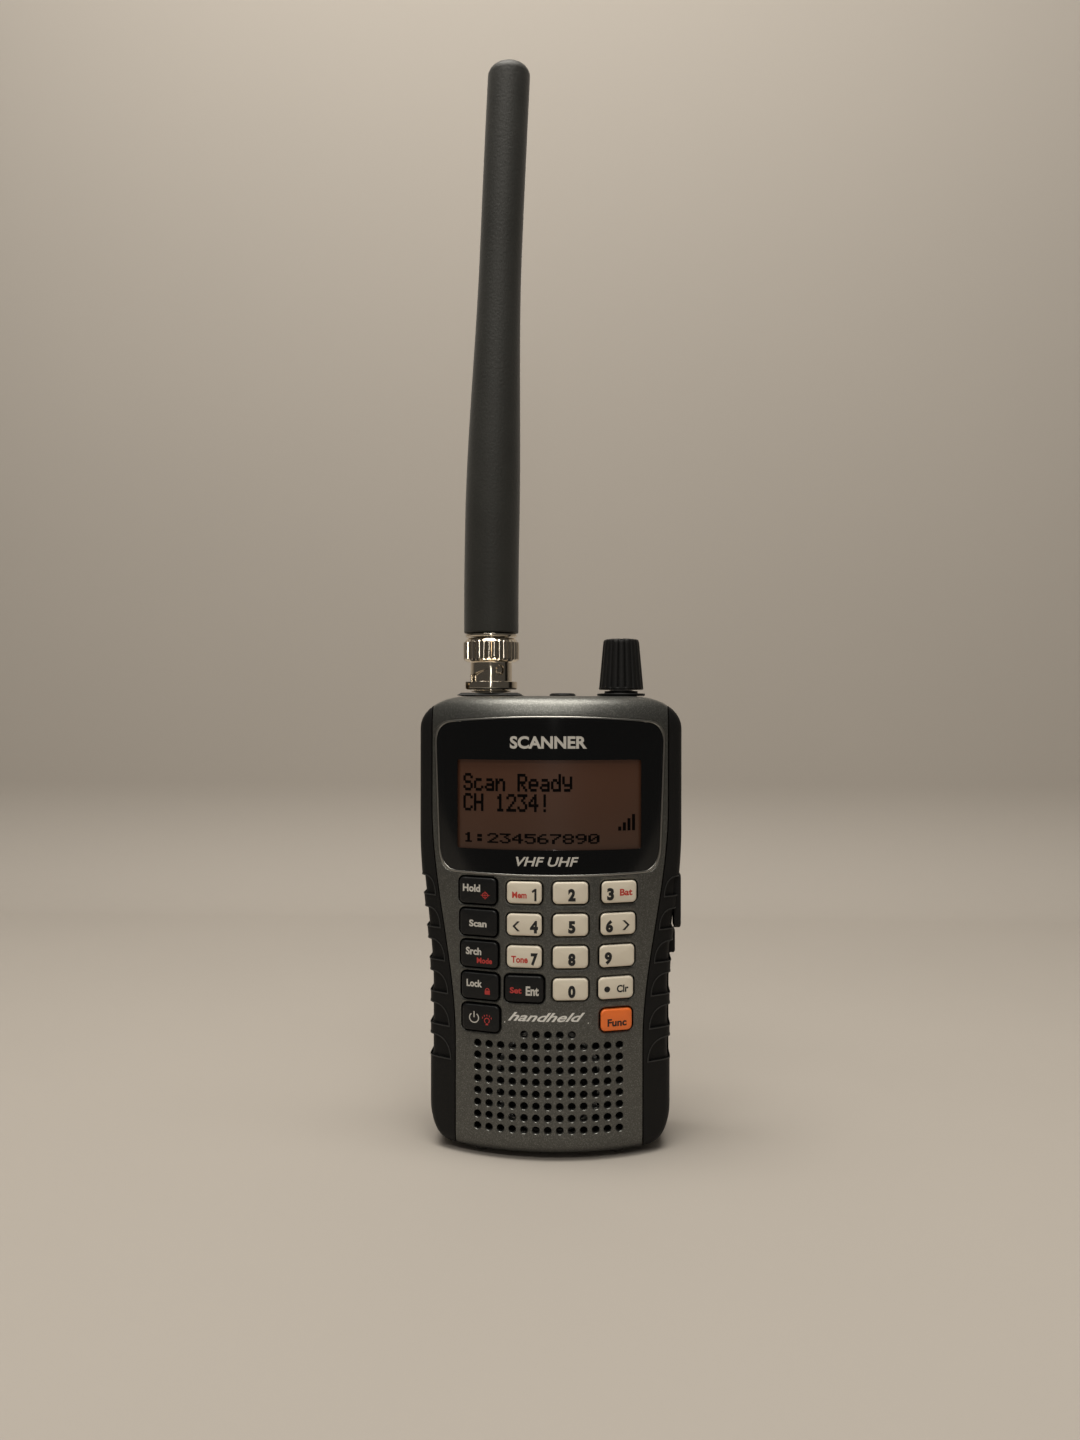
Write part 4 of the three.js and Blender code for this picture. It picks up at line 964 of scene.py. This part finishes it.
def inked(name, text, place, size, look, body, depth, slant=0.0, bold=0.02):
    """Printed words that follow the front face at a depth, fitted to a width and a height."""
    curve = bpy.data.curves.new(name, "FONT")
    curve.body = text
    curve.shear = slant
    curve.offset = bold
    curve.extrude = 0.01
    curve.resolution_u = 4
    words = add_object(name, curve)
    bpy.context.view_layer.update()
    mesh = bpy.data.meshes.new_from_object(
        words.evaluated_get(bpy.context.evaluated_depsgraph_get()))
    bpy.data.objects.remove(words)
    low = [min(vertex.co[axis] for vertex in mesh.vertices) for axis in (0, 1)]
    high = [max(vertex.co[axis] for vertex in mesh.vertices) for axis in (0, 1)]
    for vertex in mesh.vertices:
        x, z = (place[axis] + size[axis] * ((vertex.co[axis] - low[axis])
                                            / (high[axis] - low[axis]) - 0.5) for axis in (0, 1))
        layer = 0.02 if vertex.co.z < 0 else 0.0
        vertex.co = Vector((x, front_y(x, z) + depth + layer, z)) * MM
    return dress(add_object(name, mesh), slot_for_ink(look), body, look=look)


def slot_for_ink(look):
    return "pale" if look in (INK_PALE, INK_WHITE) else "dark"


def stroke(name, outline, look, body, depth):
    """A small printed sign: a closed (x, z) outline with a little thickness on the front face."""
    sign = wrapped(name, [(outline, depth + 0.03), (outline, depth - 0.02)])
    return dress(sign, slot_for_ink(look), body, look=look)


def ring_outline(x, z, radius, width, start, stop, steps=28):
    """A band along a circle, from a start to a stop angle in degrees."""
    turns = [math.radians(blend(start, stop, i / steps)) for i in range(steps + 1)]
    outer = [(x + radius * math.cos(a), z + radius * math.sin(a)) for a in turns]
    less = radius - width
    inner = [(x + less * math.cos(a), z + less * math.sin(a)) for a in reversed(turns)]
    return outer + inner


def bar_outline(x, z, wide, tall):
    return [(x - wide / 2, z - tall / 2), (x + wide / 2, z - tall / 2),
            (x + wide / 2, z + tall / 2), (x - wide / 2, z + tall / 2)]


# key: (words, centre from the key's centre, size, ink) for each printed word on it
LEGENDS = {
    "1": [("Mem", (-1.2, -0.55), (3.6, 1.6), INK_RED)],
    "2": [("2", (0.35, -0.45), (1.8, 3.05), INK_BLACK)],
    "3": [("3", (-2.1, -0.45), (1.7, 3.05), INK_BLACK), ("Bat", (1.75, -0.1), (3.1, 1.7), INK_RED)],
    "4": [("4", (2.4, -0.45), (2.0, 3.05), INK_BLACK)],
    "5": [("5", (0.35, -0.45), (1.75, 3.05), INK_BLACK)],
    "6": [("6", (-2.1, -0.45), (1.8, 3.05), INK_BLACK)],
    "7": [("7", (2.5, -0.5), (1.75, 3.05), INK_BLACK), ("Tone", (-1.15, -0.6), (4.1, 1.7), INK_RED)],
    "8": [("8", (0.35, -0.5), (1.8, 3.05), INK_BLACK)],
    "9": [("9", (-2.1, -0.45), (1.8, 3.05), INK_BLACK)],
    "0": [("0", (0.35, -0.5), (1.8, 3.05), INK_BLACK)],
    "clear": [("Clr", (1.7, -0.2), (2.9, 1.85), INK_BLACK)],
    "func": [("Func", (0.2, -0.6), (4.7, 1.85), INK_BLACK)],
    "hold": [("Hold", (-1.6, 0.65), (4.5, 1.85), INK_PALE)],
    "scan": [("Scan", (-0.15, -0.2), (4.5, 1.7), INK_PALE)],
    "search": [("Srch", (-1.45, 0.75), (4.0, 1.85), INK_PALE),
               ("Mode", (1.35, -1.45), (3.9, 1.4), INK_DEEP_RED)],
    "lockout": [("Lock", (-1.45, 0.65), (4.0, 1.8), INK_PALE)],
    "program": [("Ent", (2.0, -0.4), (3.2, 2.3), INK_PALE),
                ("Set", (-2.1, -0.35), (2.9, 1.5), INK_DEEP_RED)],
}


def key_sign(label, name, outline, look=INK_DEEP_RED, lift=0.0):
    """A printed sign on a key; its outline is measured from the key's centre."""
    x, z, _, _ = key_place(f"key_{label}")
    placed = [(x + dx, z + dz) for dx, dz in outline]
    stroke(name, placed, look, f"key_{label}", CAP - lift)


def key_signs():
    """Pictograms: arrows, a dot, a padlock, a target ring, the power mark and a lamp."""
    arrow = ((-0.85, 1.2), (-0.23, 1.2), (0.95, 0.0), (-0.23, -1.2), (-0.85, -1.2), (0.33, 0.0))
    for label, side in (("4", -1), ("6", 1)):
        outline = [(side * (1.95 + dx), dz - 0.35) for dx, dz in arrow]
        key_sign(label, f"arrow_{label}", outline, INK_BLACK)
    figure = ((0.0, -1.5), (0.52, -1.5), (0.52, 1.5), (0.1, 1.5), (-0.65, 0.95), (-0.45, 0.5),
              (0.0, 0.8))
    key_sign("1", "figure_one", [(2.5 + dx, dz - 0.45) for dx, dz in figure], INK_BLACK)
    key_sign("clear", "dot_mark", [(a - 2.1, b - 0.2) for a, b in circle(0.72, 24)], INK_BLACK)
    key_sign("power", "power_arc", ring_outline(-1.7, 0, 1.3, 0.26, 125, 415), INK_PALE)
    key_sign("power", "power_bar", bar_outline(-1.7, 0.85, 0.26, 1.5), INK_PALE)
    lamp_x, lamp_z = 1.6, -0.45
    key_sign("power", "lamp_ring", ring_outline(lamp_x, lamp_z, 0.72, 0.2, -60, 240))
    key_sign("power", "lamp_foot", bar_outline(lamp_x, lamp_z - 0.9, 0.62, 0.4))
    ray_reach = 1.3
    for i in range(5):
        angle = math.radians(30 + 30 * i)
        ray = bar_outline(lamp_x + ray_reach * math.cos(angle),
                          lamp_z + ray_reach * math.sin(angle), 0.2, 0.42)
        key_sign("power", f"lamp_ray_{i}", ray)
    key_sign("lockout", "lock_body", bar_outline(1.9, -1.35, 1.3, 1.0))
    key_sign("lockout", "lock_bow", ring_outline(1.9, -0.8, 0.55, 0.22, 0, 180))
    key_sign("hold", "target_ring", ring_outline(1.9, -1.0, 0.75, 0.18, 0, 359.82))
    key_sign("hold", "target_bar", bar_outline(1.9, -1.0, 2.2, 0.16))
    key_sign("hold", "target_post", bar_outline(1.9, -1.0, 0.16, 2.0), lift=0.02)


def legends():
    for label, words in LEGENDS.items():
        x, z, _, _ = key_place(f"key_{label}")
        for i, (text, offset, size, look) in enumerate(words):
            bold = 0.06 if text.isdigit() else 0.035
            inked(f"legend_{label}_{i}", text, (x + offset[0], z + offset[1]), size, look,
                  f"key_{label}", CAP, bold=bold)
    key_signs()
    inked("top_label", "SCANNER", (0, 102.5), (18.9, 3.1), INK_PALE, "root", 0.06, bold=0.035)
    inked("low_label", "VHF UHF", (-0.2, 73.3), (15.4, 2.3), INK_PALE, "root", 0.06, slant=0.25)
    inked("script_label", "handheld", (-0.4, 35.3), (19.0, 2.2), INK_WHITE, "root", -0.02,
          slant=0.5)
    stroke("script_line", bar_outline(-0.4, 33.8, 20.7, 0.3), INK_WHITE, "root", -0.02)


# ---- keys


def key_cap(node):
    profile = ((0.0, 3.0), (0.0, -0.28), (-0.07, -0.46), (-0.2, -0.6), (-0.42, -0.66),
               (-0.8, -KEY_PROUD))
    rings = key_rings(node, profile)
    edge = rings[-1][0]
    x, z, _, _ = key_place(node)
    for share in (0.75, 0.45, 0.15):
        outline = [(x + (px - x) * share, z + (pz - z) * share) for px, pz in edge]
        rings.append((outline, -KEY_PROUD))
    cap = smooth(wrapped(f"cap_{node.removeprefix('key_')}", rings), 50)
    return dress(cap, SLOTS[node], node, node)


# ---- antenna and controls


def around(centre, angle, reach, side, z):
    """A point beside a ray at an angle round an upright axis."""
    return (centre[0] + reach * math.cos(angle) - side * math.sin(angle),
            centre[1] + reach * math.sin(angle) + side * math.cos(angle), z)


def ribbed(name, centre, ribs, rows):
    """Ribs with rounded crests and narrow valleys. Rows are (radius, z, depth, crest power)."""
    per_rib = 8
    rings = []
    for radius, z, depth, power in rows:
        ring = []
        for i in range(ribs * per_rib):
            wave = abs(math.sin(math.pi * (i % per_rib) / per_rib)) ** power
            angle = 2 * math.pi * i / (ribs * per_rib)
            ring.append(around(centre, angle, radius - depth * (1 - wave), 0, z))
        rings.append(ring)
    return loft(name, rings)


def antenna_parts():
    centre = axis_of("spring_washer")
    base_low, base_high = box_mm("antenna_base")
    slope = 1.0
    plate_rings = []
    for cut, z in ((0.0, base_low.z), (slope - 0.25, base_high.z - 0.2), (slope, base_high.z)):
        left, right = base_low.x + cut, base_high.x - cut
        near, far = base_low.y + cut, base_high.y - cut
        plate_rings.append([(left, near, z), (right, near, z), (right, far, z), (left, far, z)])
    plate = loft("antenna_plate", plate_rings)
    combine(plate, [rod("neck_hole", 4.5, 100, 120, centre, 48)])
    soften(plate, 0.35, 3)
    dress(smooth(plate, 40), "black", "root", "antenna_base")

    barrel = rounded([(0, 104), (4.2, 104), (4.2, 115.3), (5.2, 115.3), (5.2, 115.6), (4.5, 115.6),
                      (4.5, 124), (3.6, 124), (3.6, 117), (0, 117)], 0.12)
    socket = turned("socket_barrel", barrel, centre, 72)
    stud_angles = [-QUARTER + STUD_TURN + turn for turn in (0.0, math.pi)]
    combine(socket, [stud(centre, angle) for angle in stud_angles], "UNION")
    dress(smooth(socket, 32), "nickel", "root", "antenna_socket")

    nut = turned("nut_sleeve", rounded([(4.8, 115.9), (6.4, 115.9), (6.8, 116.2), (6.8, 117.9),
                                        (5.45, 117.95), (5.4, 122.9), (6.3, 123.1), (6.4, 127.0),
                                        (4.8, 127.0), (4.8, 115.9)], 0.12), centre, 96)
    low, high = 123.1, 129.2
    knurl = ribbed("knurl", centre, 30, [
        (6.3, low, 0, 1), (6.75, low + 0.3, 0, 1), (7.23, low + 0.7, 0.5, 0.45),
        (7.23, high - 1.1, 0.5, 0.45), (6.75, high - 0.7, 0, 1), (6.6, high - 0.35, 0, 1),
        (6.1, high, 0, 1),
    ])
    combine(nut, [knurl], "UNION")
    combine(nut, [turned("nut_bore", [(0, 110), (4.8, 110), (4.8, 125), (5.7, 125), (5.7, 128.2),
                                      (4.8, 128.2), (4.8, 131), (0, 131)], centre, 96)])
    for angle in stud_angles:
        combine(nut, bayonet_track(centre, angle))
    dress(smooth(nut, 30), "nickel", "coupling_nut", "coupling_nut")

    plug = turned("plug", rounded([(0, 126), (1.0, 126), (1.0, 124.4), (4.4, 124.4), (4.4, 125.3),
                                   (5.3, 125.3), (5.3, 126.3), (4.4, 126.3), (4.4, 129.5),
                                   (6.5, 129.5), (6.65, 129.7), (6.65, 130.2), (6.3, 130.35),
                                   (2.5, 130.35), (2.5, 145), (0, 145)], 0.1), centre, 72)
    dress(smooth(plug, 32), "nickel", "antenna", "plug_body")
    dress(antenna_sleeve(centre), "rubber", "antenna", "antenna_sleeve", look=ANTENNA_RUBBER)


def stud(centre, angle):
    """A bayonet stud standing out of the barrel at an angle."""
    profile = ((3.9, 0.88), (5.1, 0.88), (5.25, 0.78), (5.3, 0.6))
    return loft("stud", [[around(centre, angle, reach, a, STUD_Z + b) for a, b in circle(radius, 28)]
                         for reach, radius in profile])


def bayonet_track(centre, start):
    """Cuts for one helical track: its lock hole round the stud, its slope and its open mouth."""
    half = 1.25
    lock_radius = 1.35
    inner, outer = 3.5, 8.0
    steps = 30
    slope = []
    for i in range(steps + 1):
        angle = start - QUARTER * i / steps
        z = STUD_Z - NUT_LIFT * i / steps
        corners = ((inner, -half), (outer, -half), (outer, half), (inner, half))
        slope.append([around(centre, angle, reach, 0, z + rise) for reach, rise in corners])
    low = NUT_LOW - 1
    high = STUD_Z - NUT_LIFT + half
    mouth = ((-half, low), (half, low), (half, high), (-half, high))
    cuts = [loft("track", slope)]
    for name, angle, outline in (
            ("lock", start, [(a, STUD_Z + b) for a, b in circle(lock_radius, 36)]),
            ("mouth", start - QUARTER, mouth)):
        cuts.append(loft(name, [[around(centre, angle, reach, side, z) for side, z in outline]
                                for reach in (inner, outer)]))
    return cuts


def antenna_sleeve(centre):
    """The rubber cover: thicker at the foot, slim above, leaning a little, with a domed tip."""
    low, high = box_mm("antenna_sleeve")
    foot_radius, tip_radius = 7.1, 5.5
    lean = 4.65
    lean_start = 140.0
    dome = 3.2
    rings = []

    def ring(z, radius):
        t = max((z - lean_start) / (high.z - lean_start), 0.0)
        shift = lean * t ** 1.5
        return [(centre[0] + shift + a, centre[1] + b, z) for a, b in circle(radius, 64)]

    rings.append(ring(low.z, foot_radius - 0.25))
    rings.append(ring(low.z + 0.08, foot_radius - 0.1))
    steps = 60
    dome_low = high.z - dome
    for i in range(steps + 1):
        z = blend(low.z + 0.3, dome_low, i / steps)
        rings.append(ring(z, blend(foot_radius, tip_radius, ease(160, 230, z))))
    dome_steps = 8
    for i in range(1, dome_steps + 1):
        angle = QUARTER * i / dome_steps
        radius = tip_radius * (1 - (1 - math.cos(angle)) * 0.8)
        rings.append(ring(dome_low + dome * math.sin(angle), radius))
    return smooth(loft("antenna_cover", rings), 50)


def controls():
    centre = axis_of("volume_knob")
    bush = turned("bush", rounded([(3.3, 109), (4, 109), (4, 114.3), (6.2, 114.3), (6.2, 114.85),
                                   (4.3, 114.9), (4.3, 115.5), (3.3, 115.5), (3.3, 109)], 0.2),
                  centre, 64)
    dress(smooth(bush, 35), "nickel", "root", "encoder_bush", look=LOOKS["black"])

    low, high = box_mm("volume_knob")
    skirt = low.z + 0.35
    flutes = [(5.6, low.z, 0, 1), (5.78, low.z + 0.15, 0, 1), (5.78, skirt, 0.05, 1),
              (5.74, skirt + 0.35, 0.42, 0.35), (4.72, high.z - 1.3, 0.34, 0.35),
              (4.62, high.z - 0.75, 0.1, 0.35), (4.45, high.z - 0.35, 0, 1),
              (4.1, high.z - 0.14, 0, 1), (3.4, high.z - 0.04, 0, 1), (2.0, high.z, 0, 1)]
    knob = ribbed("knob", centre, 18, flutes)
    combine(knob, [rod("knob_bore", 3.3, 110, 126.3, centre, 48)])
    pointer = block("pointer_groove", (centre[0] - 0.35, centre[1] - 7, high.z - 0.5),
                    (centre[0] + 0.35, centre[1] - 1.2, high.z + 1))
    combine(knob, [pointer])
    dress(smooth(knob, 38), "black", "volume_knob", "volume_knob")

    centre = axis_of("earphone_jack")
    jack = turned("jack_ring", rounded([(0, 98), (2.8, 98), (2.8, 114.3), (3.4, 114.3),
                                        (3.4, 114.6), (2.9, 114.95), (1.9, 114.95),
                                        (1.8, 114.8), (1.8, 100), (0, 100)], 0.12), centre, 56)
    dress(smooth(jack, 35), "black", "root", "earphone_jack")


def rear_screws():
    for node in REAR_SCREWS:
        low, high = box_mm(node)
        x, _, z = axis_of(node, "Y")
        profile = rounded([(0, low.y), (0.5, low.y), (1.1, low.y + 1), (1.1, 11.8), (2.3, 11.8),
                           (2.3, high.y - 0.5), (1.9, high.y), (0, high.y)], 0.2)
        screw = turned(node.removeprefix("rear_"), profile, (x, 0, z), 48, along="Y")
        arm = 1.35
        across = block("slot_across", (x - arm, high.y - 0.8, z - 0.3), (x + arm, REACH, z + 0.3))
        along = block("slot_along", (x - 0.3, high.y - 0.8, z - arm), (x + 0.3, REACH, z + arm))
        combine(screw, [across, along])
        dress(smooth(screw, 35), "steel", "root", node)


def feet():
    for row in ("front", "rear"):
        for side in ("left", "right"):
            node = f"foot_{row}_{side}"
            low, high = box_mm(node)
            profile = rounded([(0, low.z), (1.5, low.z), (1.9, low.z + 0.4), (1.9, high.z),
                               (0, high.z)], 0.25)
            foot = turned(f"{node}_pad", profile, axis_of(node), 40)
            dress(smooth(foot, 40), "rubber", "root", node, look=FOOT_RUBBER)


# ---- assembly

add_camera()
add_stage()
add_light()
dress_cad_nodes()
front_case()
rear_case()
grip(-1)
grip(1)
battery_door()
usb_cover()
display()
lcd_face()
lcd_picture()
for key_node in KEYS:
    key_cap(key_node)
legends()
antenna_parts()
controls()
rear_screws()
feet()
